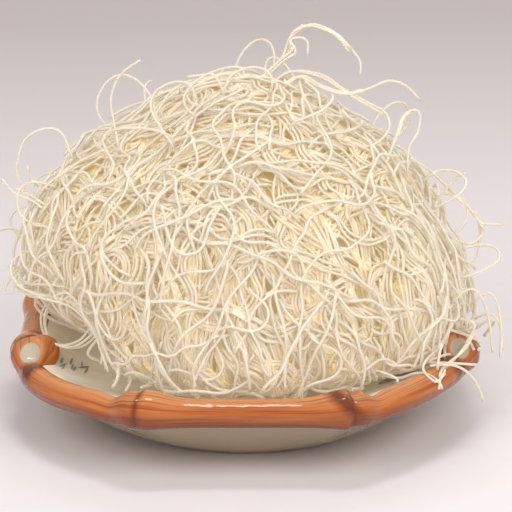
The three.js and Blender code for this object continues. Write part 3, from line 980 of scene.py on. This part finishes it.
# The locks that hang over the dish and its rim: how many strands run in each, how widely they spread and
# their places, in mm.
HANGING_LOCKS = [
    (9, 2.2, [(-66, -6, 58), (-74, -2, 50), (-78, -8, 45), (-72, -16, 46), (-62, -27, 49),
              (-52, -36, 48), (-45, -43, 43), (-41, -47, 36), (-40, -50, 29), (-42, -53, 25)]),
    (6, 2.0, [(-60, -14, 54), (-68, -14, 50), (-66, -20, 50), (-60, -28, 49), (-52, -36, 44),
              (-47, -43, 37), (-46, -47, 30), (-48, -50, 27)]),
    (3, 1.2, [(-56, -20, 46), (-64, -16, 44), (-69, -16, 37), (-67, -24, 31), (-61, -31, 30),
              (-54, -35, 34), (-50, -36, 40), (-54, -30, 45)]),
    (2, 1.0, [(46, -46, 34), (54, -45, 36), (61, -42, 35), (67, -40, 32.5), (72, -38, 31),
              (76, -36, 31), (80, -36, 29), (79, -38, 26.5), (74, -40, 27), (71, -40, 30)]),
    (1, 0.8, [(52, -47, 32), (60, -46, 31), (67, -45, 30), (76, -41, 28), (85, -38, 26)]),
    (1, 0.8, [(54, -49, 32), (60, -49, 32), (67, -47, 31), (73, -45, 28), (77, -45, 23),
              (78, -45, 17)]),
    (2, 1.2, [(78, -28, 36), (75, -34, 33), (72, -40, 31), (67, -47, 29), (62, -53, 26),
              (59, -57, 23)]),
    (2, 1.2, [(62, -38, 40), (62, -44, 35), (58, -50, 33), (57, -54, 30), (60, -56, 27),
              (64, -53, 28), (67, -48, 31)]),
    (1, 0.8, [(36, -54, 32), (42, -56, 32), (48, -57, 31), (50, -59, 28), (49, -62, 27),
              (47, -64, 24)]),
    (1, 0.8, [(30, -54, 42), (34, -59, 37), (38, -61, 32), (41, -61, 33), (40, -59, 37),
              (36, -57, 40)]),
]


# Where strands spill from the heap: how many, the azimuths and elevations between which they leave it, and
# how far they reach out, rise and sweep sideways; degrees and mm.
SPILLS = [
    (24, (44, 76), (-8, 6), (3, 12), (-14, -3), (-9, 9)),
    (4, (72, 88), (-6, 8), (2, 7), (-9, 2), (-6, 6)),
    (14, (56, 78), (-6, 4), (5, 12), (-9, -2), (-8, 8)),
    (64, (-46, 46), (-14, -3), (0, 4), (-7, -2), (-8, 8)),
    (18, (-97, -86), (2, 12), (5, 13), (-5, 2), (-4, 4)),
    (16, (-80, -44), (-6, 6), (0, 5), (-14, -5), (-6, 6)),
    (18, (100, 150), (-6, 10), (4, 11), (-20, -4), (-9, 9)),
    (18, (-160, -110), (-6, 10), (4, 11), (-18, -4), (-9, 9)),
]


# The layers of strands from the core outwards: name, metres laid, most strands in a lock and their pitch in
# diameters, how much they wind and how strongly they follow the flow, how many cross it, the radius to which
# they bend and how far over the heap's form they may lie, in mm, sides of a strand, and points for each ring.
LAYERS = [
    ("vermicelli_inner_strands", 52, 8, 0.8, 90, 50, 0.15, 4, -3.4, -2.4, 4, 4),
    ("vermicelli_middle_strands", 54, 7, 0.85, 130, 40, 0.25, 5, -2.7, -1.6, 4, 4),
    ("vermicelli_outer_strands", 36, 5, 1.0, 190, 30, 0.35, 6, -1.9, -0.5, 4, 3),
    ("vermicelli_top_strands", 23, 3, 1.15, 220, 25, 0.45, 9, -1.2, 0.8, 5, 3),
]


def on_heap(azimuth, elevation, height, heap):
    """A point on the heap, or above it by a height."""
    way = outwards(azimuth, elevation)
    return way * (heap_reach(way, heap) + height) + np.array([0, 0, heap.middle_height])


def loop_path(row, heap, rng):
    """The path of a strand that springs from the heap and returns to it."""
    azimuth_a, elevation_a, azimuth_b, elevation_b, height, belly, lean_x, lean_y = row
    root = ROOT_DEPTH * MM
    a = on_heap(azimuth_a, elevation_a, -root, heap)
    b = on_heap(azimuth_b, elevation_b, -root, heap)
    along = unit(b - a)
    out = unit((a + b) / 2 - np.array([0, 0, heap.middle_height]))
    u = np.linspace(0, 1, 9)[:, None]
    arch = np.sin(np.pi * u ** rng.uniform(0.8, 1.25))
    points = a + (b - a) * (1 - np.cos(np.pi * u)) / 2
    points = points - along * belly * 0.6 * MM * np.sin(2 * np.pi * u)
    for waves in (2, 3):
        points = points + rng.normal(0, 1.8 / waves, 3) * MM * np.sin(waves * np.pi * u)
    points = points + out * (height * MM + root) * np.maximum(arch, 0) ** 0.9
    return points + np.array([lean_x, lean_y, 0]) * MM * arch**2


def end_path(row, heap):
    """The path of a strand that leaves the heap and ends in the air."""
    azimuth, elevation, reach, rise, sweep, curl = row
    foot = on_heap(azimuth, elevation, -ROOT_DEPTH * MM, heap)
    way = outwards(azimuth, elevation)
    u = np.linspace(0, 1, 7)[:, None]
    points = foot + way * (reach + ROOT_DEPTH) * MM * np.sin(np.pi / 2 * u)
    points = points + sideways(azimuth) * sweep * MM * u**2
    return points + np.array([0, 0, 1]) * (rise * u**2 + curl * np.sin(np.pi * u)) * MM


# ---- materials -------------------------------------------------------------------------------
# An even glow in the strands' own colour, for the light that comes through the translucent strands over them.
LIGHT_THROUGH = 0.155


def new_material(name):
    """A material with its Principled shader, as (material, nodes, links, shader)."""
    material = bpy.data.materials.new(name)
    material.use_nodes = True
    nodes = material.node_tree.nodes
    return material, nodes, material.node_tree.links, nodes["Principled BSDF"]


def mixed(nodes, links, factor, a, b):
    """A colour mix of two colours or sockets by a factor socket."""
    mix = nodes.new("ShaderNodeMix")
    mix.data_type = "RGBA"
    links.new(factor, mix.inputs[0])
    for socket, value in ((mix.inputs[6], a), (mix.inputs[7], b)):
        if isinstance(value, bpy.types.NodeSocket):
            links.new(value, socket)
        else:
            socket.default_value = (*value, 1)
    return mix.outputs[2]


def ranged(nodes, links, value, low, high, to_low=0.0, to_high=1.0):
    """Maps a value from one range to another, clamped."""
    node = nodes.new("ShaderNodeMapRange")
    links.new(value, node.inputs[0])
    for socket, number in zip(node.inputs[1:5], (low, high, to_low, to_high)):
        socket.default_value = number
    return node.outputs[0]


def noise(nodes, links, scale, detail, vector=None, stretch=None):
    """A noise texture in object space, or over a vector, which may be stretched."""
    node = nodes.new("ShaderNodeTexNoise")
    node.inputs["Scale"].default_value = scale
    node.inputs["Detail"].default_value = detail
    if vector is None:
        vector = nodes.new("ShaderNodeTexCoord").outputs["Object"]
    if stretch is not None:
        mapping = nodes.new("ShaderNodeMapping")
        mapping.inputs["Scale"].default_value = stretch
        links.new(vector, mapping.inputs["Vector"])
        vector = mapping.outputs["Vector"]
    links.new(vector, node.inputs["Vector"])
    return node.outputs["Fac"]


def bumped(nodes, links, height, distance, strength, shader):
    """Feeds a height to a shader's normal."""
    node = nodes.new("ShaderNodeBump")
    node.inputs["Distance"].default_value = distance
    node.inputs["Strength"].default_value = strength
    links.new(height, node.inputs["Height"])
    links.new(node.outputs["Normal"], shader.inputs["Normal"])


def attribute(nodes, name, output="Fac"):
    """The socket of a value or vector stored on a mesh."""
    node = nodes.new("ShaderNodeAttribute")
    node.attribute_name = name
    return node.outputs[output]


def noodle_material(name, finishes, palest, paleness, gloss):
    """Satin, milky strands, each of its own shade, painted more golden below the surface and given a painted
    glow, for the light that scatters through the translucent heap.

    palest is the colour of the whitest strands, and paleness is how near to it the darkest of them is.
    """
    material, nodes, links, shader = new_material(name)
    tone = nodes.new("ShaderNodeMath")
    tone.operation = "ADD"
    links.new(attribute(nodes, "tone"), tone.inputs[0])
    links.new(noise(nodes, links, 45, 2), tone.inputs[1])
    factor = ranged(nodes, links, tone.outputs[0], 0.35, 1.65, paleness, 1.0)
    outer = mixed(nodes, links, factor, finishes.noodle, palest)
    # Painted light: strands below the surface turn to the deep golden colour, and every strand glows in its own
    # colour
    inner = ranged(nodes, links, attribute(nodes, "depth"), 0.01, 0.2)
    shade = mixed(nodes, links, inner, outer, finishes.noodle_deep_glow)
    links.new(shade, shader.inputs["Base Color"])
    links.new(shade, shader.inputs["Emission Color"])
    shader.inputs["Emission Strength"].default_value = LIGHT_THROUGH
    grain = noise(nodes, links, 900, 2)
    links.new(ranged(nodes, links, grain, 0.3, 0.7, 0.3, 0.5), shader.inputs["Roughness"])
    bumped(nodes, links, noise(nodes, links, 1400, 1), 0.0001, 0.25, shader)
    shader.subsurface_method = "BURLEY"
    shader.inputs["Subsurface Weight"].default_value = 0.75
    shader.inputs["Subsurface Radius"].default_value = (1.0, 1.0, 1.0)
    shader.inputs["Subsurface Scale"].default_value = 0.001
    shader.inputs["Specular IOR Level"].default_value = gloss
    shader.inputs["IOR"].default_value = 1.45
    shader.inputs["Sheen Weight"].default_value = 0.1
    shader.inputs["Sheen Roughness"].default_value = 0.4
    return material


def core_material(finishes):
    """The shaded inside of the heap, painted in the golden colour of the deep strands and given their painted
    glow.
    """
    material, nodes, links, shader = new_material("noodle_core")
    grain = noise(nodes, links, 220, 4)
    deep = finishes.noodle_deep_glow
    light = tuple(0.5 * (a + b) for a, b in zip(deep, finishes.noodle))
    # Painted light: the golden deep colour and the glow stand for light scattered through the heap
    links.new(mixed(nodes, links, grain, deep, light), shader.inputs["Base Color"])
    shader.inputs["Emission Color"].default_value = (*deep, 1)
    shader.inputs["Emission Strength"].default_value = LIGHT_THROUGH
    shader.inputs["Roughness"].default_value = 0.8
    bumped(nodes, links, grain, 0.001, 0.5, shader)
    return material


def glaze_mottle():
    """A node group with the uneven thickness of a fired glaze: a mask of its pools, and its waviness."""
    group = bpy.data.node_groups.new("glaze_mottle", "ShaderNodeTree")
    group.interface.new_socket("Scale", in_out="INPUT", socket_type="NodeSocketFloat").default_value = 60
    group.interface.new_socket("Pools", in_out="OUTPUT", socket_type="NodeSocketFloat")
    group.interface.new_socket("Waves", in_out="OUTPUT", socket_type="NodeSocketFloat")
    nodes, links = group.nodes, group.links
    entry = nodes.new("NodeGroupInput")
    leave = nodes.new("NodeGroupOutput")
    place = nodes.new("ShaderNodeTexCoord")
    for name, detail, share in (("Pools", 4, 1.0), ("Waves", 1, 2.5)):
        texture = nodes.new("ShaderNodeTexNoise")
        scale = nodes.new("ShaderNodeMath")
        scale.operation = "MULTIPLY"
        scale.inputs[1].default_value = share
        links.new(entry.outputs["Scale"], scale.inputs[0])
        links.new(scale.outputs[0], texture.inputs["Scale"])
        texture.inputs["Detail"].default_value = detail
        links.new(place.outputs["Object"], texture.inputs["Vector"])
        links.new(ranged(nodes, links, texture.outputs["Fac"], 0.3, 0.7), leave.inputs[name])
    return group


def mottled(nodes, group, scale):
    """The glaze group in a material, as its (pools, waves) sockets."""
    node = nodes.new("ShaderNodeGroup")
    node.node_tree = group
    node.inputs["Scale"].default_value = scale
    return node.outputs["Pools"], node.outputs["Waves"]


def bowl_material(finishes, group):
    """Cream glaze, painted darker on the outside for the shade under the dish, bare and matt on the foot ring.
    """
    material, nodes, links, shader = new_material("cream_glaze")
    pools, waves = mottled(nodes, group, 55)
    thin = tuple(0.9 * c for c in finishes.bowl)
    glaze = mixed(nodes, links, pools, thin, finishes.bowl)
    # Painted shade on the outside of the bowl
    glaze = mixed(nodes, links, attribute(nodes, "outside"), glaze, finishes.bowl_outside_shade)
    bare = ranged(nodes, links, attribute(nodes, "bare"), 0.35, 0.65)
    links.new(mixed(nodes, links, bare, glaze, finishes.foot), shader.inputs["Base Color"])
    links.new(ranged(nodes, links, bare, 0, 1, 0.16, 0.85), shader.inputs["Roughness"])
    bumped(nodes, links, waves, 0.00025, 0.5, shader)
    shader.inputs["IOR"].default_value = 1.5
    return material


def cane_material(finishes, group):
    """Brown glaze in streaks along the canes, darker in the grooves, with cream sawn faces; with painted shade
    under the canes and in the pits by the front sawn ends, and a painted reflection along their tops.
    """
    material, nodes, links, shader = new_material("brown_glaze")
    pools, waves = mottled(nodes, group, 90)
    grain = attribute(nodes, "grain", "Vector")
    broad = ranged(nodes, links, noise(nodes, links, 1.0, 3, grain, (0.22, 2.4, 2.4)), 0.36, 0.64)
    fine = ranged(nodes, links, noise(nodes, links, 1.0, 2, grain, (0.3, 9, 9)), 0.42, 0.68)
    around = nodes.new("ShaderNodeSeparateXYZ")
    links.new(grain, around.inputs[0])
    # Darker towards the canes' undersides: painted shade, and glaze that runs thicker low
    underside_shade = ranged(nodes, links, around.outputs["Z"], 0.4, -0.6, 0.0, 0.75)
    # Painted reflection of the bright room along the canes' tops
    painted_reflection = ranged(nodes, links, around.outputs["Z"], 0.5, 1.0, 0.0, 0.75)
    glaze = mixed(nodes, links, broad, finishes.cane, finishes.cane_light)
    glaze = mixed(nodes, links, underside_shade, glaze, finishes.cane_dark)
    glaze = mixed(nodes, links, painted_reflection, glaze, finishes.cane_top_reflection)
    dark_line = ranged(nodes, links, fine, 0.4, 1.0, 0.0, 0.5)
    glaze = mixed(nodes, links, dark_line, glaze, finishes.cane_dark)
    pool = ranged(nodes, links, attribute(nodes, "pool"), 0.15, 1.0, 0.0, 0.85)
    glaze = mixed(nodes, links, pool, glaze, finishes.cane_dark)
    face = ranged(nodes, links, attribute(nodes, "face"), -0.2, 0.2)
    sawn = mixed(nodes, links, pools, tuple(0.88 * c for c in finishes.sawn), finishes.sawn)
    links.new(mixed(nodes, links, face, glaze, sawn), shader.inputs["Base Color"])
    links.new(ranged(nodes, links, pools, 0, 1, 0.1, 0.2), shader.inputs["Roughness"])
    bumped(nodes, links, waves, 0.0003, 0.6, shader)
    shader.inputs["IOR"].default_value = 1.5
    return material


def mark_material(finishes):
    """Grey underglaze brushwork."""
    material, nodes, links, shader = new_material("grey_brushwork")
    wash = noise(nodes, links, 500, 2)
    pale = tuple(0.5 * (a + b) for a, b in zip(finishes.mark, finishes.bowl))
    links.new(mixed(nodes, links, wash, finishes.mark, pale), shader.inputs["Base Color"])
    shader.inputs["Roughness"].default_value = 0.2
    return material


# ---- operators -------------------------------------------------------------------------------
class VERMICELLI_OT_dish(bpy.types.Operator):
    """Builds the dish: its bowl, the canes of its rim and the brushwork inside"""

    bl_idname = "vermicelli.dish"
    bl_label = "Glazed Dish"

    def execute(self, context):
        dish = context.scene.dish_sizes
        finishes = context.scene.heap_finishes
        group = glaze_mottle()
        self.bowl(dish, bowl_material(finishes, group))
        self.canes(dish, cane_material(finishes, group))
        self.marks(dish, mark_material(finishes))
        return {"FINISHED"}

    def bowl(self, dish, material):
        """The bowl, turned and then squared towards its rim."""
        inside = catmull_rom(np.array(BOWL_INSIDE) * MM, 1.6 * MM)
        outside = catmull_rom(np.array(BOWL_OUTSIDE) * MM, 1.2 * MM)
        foot = catmull_rom(np.array(BOWL_FOOT) * MM, 1.2 * MM)
        section = np.concatenate([inside, outside, foot])
        section = section[section[:, 0] > 0.2 * MM]
        angle = 2 * np.pi * np.arange(BOWL_SIDES) / BOWL_SIDES
        rings = bowl_place(section[:, 0, None], section[:, 1, None], angle[None, :], dish)
        made = joined("dish_bowl", [rings], material)
        on_foot = section[:, 0, None] > FOOT_INSIDE
        point_values(made, "bare", (bump(rings[..., 2], BARE_HEIGHT) * on_foot).ravel())
        # The outside, which the glaze darkens as painted shade
        outside = np.arange(len(section)) >= len(inside)
        point_values(made, "outside", np.repeat(outside, BOWL_SIDES).astype(float))
        carry(made, DISH)

    def canes(self, dish, material):
        """The canes of the rim with their stubs and twigs, in one skin."""
        side, front = knuckle_angles(dish)
        parts = []
        for sign in (-1, 1):
            at_side = (sign * dish.side_reach, 0, dish.rim_height)
            at_front = (0, sign * dish.front_reach, dish.rim_height)
            parts.append(straight_cane(at_side, (0, 1, 0), dish.side_half_length, dish))
            parts.append(straight_cane(at_front, (1, 0, 0), dish.front_half_length, dish))
        for start, stop in ((side, front), (np.pi - front, np.pi - side)):
            parts.append(corner_cane(start, stop, dish))
            parts.append(corner_cane(start + np.pi, stop + np.pi, dish))
        for start, way, sign, is_front in stubs(dish):
            parts += stub_parts(start, way, sign, is_front, dish)
        parts += [bud_part(start, way, dish) for start, way in buds(dish)]
        made = joined("dish_canes", parts, material)
        fused(made, SKIN_VOXEL, SKIN_SMOOTHING)
        self.paint(made, dish)
        carry(made, DISH)

    def paint(self, made, dish):
        """Stores where each part of the skin lies along and round its cane, for the glaze."""
        at = places(made)
        angle = np.arctan2(at[:, 1], at[:, 0])
        past = knuckle_past(angle, dish)
        height = dish.rim_height + dish.knuckle_lift * knuckle_at(past, dish) - BOW_DOWN * bow(angle, dish)
        out = np.hypot(at[:, 0], at[:, 1]) - rim_reach(angle, dish)
        around = np.arctan2(at[:, 2] - height, out)
        grain = np.stack([angle * dish.rim_reach / GRAIN_LENGTH, np.cos(around), np.sin(around)], axis=-1)
        pool = 0.75 * bump(past + GROOVE_INSET - 1.0 * MM, 0.8 * MM) + 0.32 * bump(past - 1 * MM, 6 * MM)
        slant = angle + 0.8 * (at[:, 2] - dish.rim_height) / dish.rim_reach
        pool = np.maximum(pool, valley_at(slant, dish) * np.interp(np.sin(around), [-0.7, 0.5], [0.4, 1.1]))
        face = np.full(len(at), -1.0)
        for start, way, sign, is_front in stubs(dish):
            offset = at - start
            rise = offset @ way
            aside = offset - rise[:, None] * way
            radial = np.linalg.norm(aside, axis=1)
            on_stub = (rise > 5 * MM) & (radial < dish.stub_radius + 1.4 * MM)
            grain[on_stub, 0] = rise[on_stub] / GRAIN_LENGTH + STUB_GRAIN
            on_face = (rise > dish.stub_length - 1.4 * MM) & (radial < 5.5 * MM)
            face[on_face] = (FACE_RADIUS - radial[on_face]) / MM
            if is_front:
                # Painted shade and pooled glaze in the pits under the curl
                for place, width in PITS_IN_SHADE:
                    foot = start + way * PIT_REACH + np.array(place) * (sign, 1, 1) * MM
                    pool = np.maximum(pool, 1.6 * bump(np.linalg.norm(at - foot, axis=1), width * MM))
        for start, way in buds(dish):
            tip = start + unit(way) * dish.bud_length
            pool = np.maximum(pool, bump(np.linalg.norm(at - tip, axis=1), 1.6 * MM))
        streaks = made.data.attributes.new("grain", "FLOAT_VECTOR", "POINT")
        streaks.data.foreach_set("vector", grain.astype(np.float32).ravel())
        point_values(made, "pool", pool)
        point_values(made, "face", face)

    def marks(self, dish, material):
        """Sprays of short brush strokes on the inside of the bowl."""
        rng = np.random.default_rng(MARKS_SEED)
        parts = []
        for spray in range(SPRAYS):
            middle = np.radians(spray * 360 / SPRAYS + rng.uniform(-6, 6))
            for i in range(STROKES):
                angle = middle + np.radians(rng.uniform(-1, 1) + 2.6 * (i % 3 - 1))
                radius = (60 + 4.2 * (i // 3) + rng.uniform(-0.8, 0.8)) * MM
                reach = rng.uniform(4.0, 7.0) * MM
                slant = rng.uniform(-0.5, 0.5) + 0.9
                u = np.linspace(-0.5, 0.5, 8)
                radii = radius + u * reach * math.cos(slant)
                angles = angle + u * reach * math.sin(slant) / radius
                path = bowl_place(radii, inside_height(radii), angles, dish)
                width = rng.uniform(0.3, 0.5) * MM * (1 - (2 * u) ** 4 * 0.75)
                parts.append(tube(path, width, 6))
        made = joined("dish_brush_marks", parts, material)
        carry(made, DISH)


class VERMICELLI_OT_heap(bpy.types.Operator):
    """Builds the heap: its core, the strands that lie on it, and the loose ones that spring from it"""

    bl_idname = "vermicelli.heap"
    bl_label = "Heap of Strands"

    def execute(self, context):
        heap = context.scene.heap_sizes
        finishes = context.scene.heap_finishes
        tangle = Tangle(heap)
        self.core(context, tangle, finishes)
        self.layers(tangle, finishes)
        self.loose(tangle, finishes)
        return {"FINISHED"}

    def core(self, context, tangle, finishes):
        """The closed body that the strands lie on."""
        bpy.ops.mesh.primitive_ico_sphere_add(subdivisions=5, radius=1)
        made = context.object
        made.name = "vermicelli_core"
        ways = unit(places(made))
        surface = tangle.surface
        cells = surface.cells(ways)
        reach = np.minimum(surface.reach[cells], surface.limit[cells] - 1 * MM)
        reach = np.where(ways[:, 2] < -0.6, np.minimum(reach, 20 * MM), reach)
        at = surface.middle + ways * reach[:, None]
        made.data.vertices.foreach_set("co", at.astype(np.float32).ravel())
        made.data.materials.append(core_material(finishes))
        carry(made, HEAP)

    def layers(self, tangle, finishes):
        """The strands that fill the heap to its form."""
        laid = []
        for _, metres, most, pitch, curl, follow, crossing, bend, low, high, _, _ in LAYERS:
            walks = tangle.pool(WALKS, LONGEST_WALK, curl, follow, crossing)
            laid.append(tangle.fill(walks, metres, most, pitch, bend * MM, low * MM, high * MM))
        pale = finishes.noodle_pale
        # Painted light: lit and shaded copies of one noodle, the deep layers leaning to the golden colour and
        # the top layer to the pale
        deep = noodle_material("noodle_deep_glow", finishes, pale, paleness=0.0, gloss=0.05)
        middle = noodle_material("noodle_outer", finishes, pale, paleness=0.1, gloss=0.15)
        top = noodle_material("noodle_top", finishes, pale, paleness=0.4, gloss=0.35)
        for (name, *_, sides, every), strands, material in zip(LAYERS, laid, (deep, deep, middle, top)):
            made = strand_mesh(name, tangle.with_depths(strands, every), sides, material)
            carry(made, HEAP)

    def loose(self, tangle, finishes):
        """The strands that spring from the heap."""
        heap = tangle.heap
        rng = tangle.rng
        strands = []
        walks = tangle.pool(400, longest=70 * MM, curl=160, follow=20, crossing=0.6)
        for path, radius, ways, tone, _ in tangle.stray(walks, 25 * MM, bend=14 * MM, low=0.0, high=5 * MM):
            strands.append((path[::RING_EVERY], radius, ways[::RING_EVERY], tone, 0.0))
        for row in SPILLS:
            strands += tangle.spill(row)
        radius = heap.strand_diameter / 2 * LOOSE_THICKNESS
        paths = [loop_path(row, heap, rng) for row in LOOPS] + [end_path(row, heap) for row in ENDS]
        for shorter, points in FREE_STRANDS:
            points = np.array(points, float) * MM
            paths.append(points)
            for _ in range(shorter):
                shift = rng.normal(0, 0.8, 3) * MM + rng.normal(0, 0.3, (len(points), 3)) * MM
                stop = int(rng.uniform(0.4, 0.8) * len(points)) + 1
                paths.append((points + shift)[: max(stop, 4)])
        for count, spread, points in HANGING_LOCKS:
            points = np.array(points, float) * MM
            for _ in range(count):
                start = 0 if rng.random() < 0.6 else 1
                stop = len(points) - (0 if rng.random() < 0.6 else 1)
                shift = rng.normal(0, 0.7, 3) + rng.normal(0, 0.35, (len(points), 3))
                path = catmull_rom((points + shift * spread * MM)[start:stop], LOOSE_STEP)
                path = tangle.surface.clear_of_dish(path, radius + DISH_GAP)[::2]
                if not bends_sharply(path):
                    paths.append(path)
        for points in paths:
            path = catmull_rom(points, LOOSE_STEP)
            strands.append((path, radius, crosswise(path), rng.random(), 0.0))
        material = noodle_material("noodle_loose", finishes, finishes.noodle_loose, paleness=0.7, gloss=0.35)
        made = strand_mesh("vermicelli_loose_strands", strands, 5, material)
        carry(made, HEAP)


# The lamps: name, place, what it points at, width and depth in metres, watts, tint, and whether glaze shows
# its reflection.
LAMPS = [
    ("right_light", (0.7, -0.95, 1.0), (0, -0.15, 0.02), (0.8, 0.8), 7.1, (1.0, 0.985, 0.965), False),
    ("left_light", (-0.7, -0.95, 1.0), (0, -0.15, 0.02), (0.8, 0.8), 5.9, (1.0, 0.985, 0.965), False),
    ("front_light", (0.2, -1.15, 1.1), (0, -0.15, 0.02), (1.0, 1.0), 1.5, (1.0, 0.985, 0.965), False),
    ("back_light", (0.2, 0.8, 1.2), (0, 0, 0.08), (0.6, 0.6), 2.1, (1.0, 1.0, 1.0), True),
    ("glint_light", (0.02, -0.17, 1.3), (0, -0.08, 0.03), (0.36, 0.2), 3.0, (1.0, 0.99, 0.97), True),
]


class VERMICELLI_OT_stage(bpy.types.Operator):
    """Sets the pale floor, the soft lights and the camera"""

    bl_idname = "vermicelli.stage"
    bl_label = "Studio"

    def execute(self, context):
        scene = context.scene
        self.floor(scene.heap_finishes)
        self.lights(scene)
        self.camera(scene)
        return {"FINISHED"}

    def floor(self, finishes):
        """A pale floor that turns up into a backdrop, painted darker behind the dish for the light that falls
        off away from the lamps.
        """
        half, front, back, tall, bend = 3.0, -1.6, 1.1, 1.8, 0.5
        turn = np.linspace(0, np.pi / 2, 17)
        profile = [(front, 0)]
        profile += [(back + bend * math.sin(t), bend * (1 - math.cos(t))) for t in turn]
        profile.append((back + bend, tall))
        vertices = [(x, y, z) for y, z in profile for x in (-half, half)]
        rows = np.arange(len(profile) - 1)[:, None] * 2
        loops = (rows + np.array([0, 1, 3, 2])).ravel()
        material, nodes, links, shader = new_material("floor")
        cloth = noise(nodes, links, 60, 3)
        away = nodes.new("ShaderNodeSeparateXYZ")
        links.new(nodes.new("ShaderNodeTexCoord").outputs["Object"], away.inputs[0])
        # Painted shade: the floor darkens to the backdrop colour away from the lamps
        behind = ranged(nodes, links, away.outputs["Y"], 0.05, 0.6)
        shade = mixed(nodes, links, cloth, tuple(0.95 * c for c in finishes.floor), finishes.floor)
        shade = mixed(nodes, links, behind, shade, finishes.backdrop)
        links.new(shade, shader.inputs["Base Color"])
        shader.inputs["Roughness"].default_value = 0.95
        shader.inputs["Specular IOR Level"].default_value = 0.1
        made = mesh_object("floor", vertices, loops, np.full(len(rows), 4), material)

    def lights(self, scene):
        """Soft lights in front, one behind, a small one overhead for the glaze, and an even sky."""
        world = bpy.data.worlds.new("studio")
        scene.world = world
        world.use_nodes = True
        sky = world.node_tree.nodes["Background"].inputs
        sky["Color"].default_value = (1.0, 0.985, 0.97, 1)
        sky["Strength"].default_value = 0.48
        for name, place, aim, size, power, tint, shines in LAMPS:
            lamp = bpy.data.lights.new(name, "AREA")
            lamp.shape = "ELLIPSE"
            lamp.size, lamp.size_y = size
            lamp.energy = power
            lamp.color = tint
            made = bpy.data.objects.new(name, lamp)
            scene.collection.objects.link(made)
            made.location = place
            made.rotation_euler = (Vector(aim) - Vector(place)).to_track_quat("-Z", "Y").to_euler()
            made.visible_glossy = shines
        scene.view_settings.view_transform = "Standard"
        scene.cycles.diffuse_bounces = 12

    def camera(self, scene):
        """The camera, in front and a little above."""
        sizes = scene.dish_sizes
        elevation = math.radians(20)
        distance = 0.8
        width_px, focal_px, sensor = 512, 2300, 36.0
        rim_px = (245, 331)
        rim = Vector((0, 0, sizes.rim_height))
        back = Vector((0, -math.cos(elevation), math.sin(elevation)))
        eye = rim + back * distance
        right = Vector((1, 0, 0))
        up = back.cross(right)
        aside = (width_px / 2 - rim_px[0]) / focal_px
        above = (rim_px[1] - width_px / 2) / focal_px
        look = -back + right * aside + up * above
        data = bpy.data.cameras.new("camera")
        data.sensor_width = sensor
        data.lens = focal_px / width_px * sensor
        data.clip_start = 0.05
        made = bpy.data.objects.new("camera", data)
        scene.collection.objects.link(made)
        made.location = eye
        made.rotation_euler = look.to_track_quat("-Z", "Y").to_euler()
        scene.camera = made


class VERMICELLI_PT_panel(bpy.types.Panel):
    """Lists the pieces in the order in which they are built"""

    bl_label = "Vermicelli Heap"
    bl_idname = "VERMICELLI_PT_panel"
    bl_space_type = "VIEW_3D"
    bl_region_type = "UI"
    bl_category = "Vermicelli"

    def draw(self, context):
        for operator in BUILD_ORDER:
            self.layout.operator(operator.bl_idname)


BUILD_ORDER = (VERMICELLI_OT_dish, VERMICELLI_OT_heap, VERMICELLI_OT_stage)
CLASSES = (DishSizes, HeapSizes, Finishes, *BUILD_ORDER, VERMICELLI_PT_panel)


def register():
    """Registers the classes and hangs the settings on the scene."""
    for kind in CLASSES:
        bpy.utils.register_class(kind)
    bpy.types.Scene.dish_sizes = bpy.props.PointerProperty(type=DishSizes)
    bpy.types.Scene.heap_sizes = bpy.props.PointerProperty(type=HeapSizes)
    bpy.types.Scene.heap_finishes = bpy.props.PointerProperty(type=Finishes)


def unregister():
    """Takes the settings and the classes away again."""
    del bpy.types.Scene.heap_finishes
    del bpy.types.Scene.heap_sizes
    del bpy.types.Scene.dish_sizes
    for kind in reversed(CLASSES):
        bpy.utils.unregister_class(kind)


def main():
    """Registers the classes and builds every piece."""
    register()
    bpy.ops.vermicelli.dish()
    bpy.ops.vermicelli.heap()
    bpy.ops.vermicelli.stage()


if __name__ == "__main__":
    main()
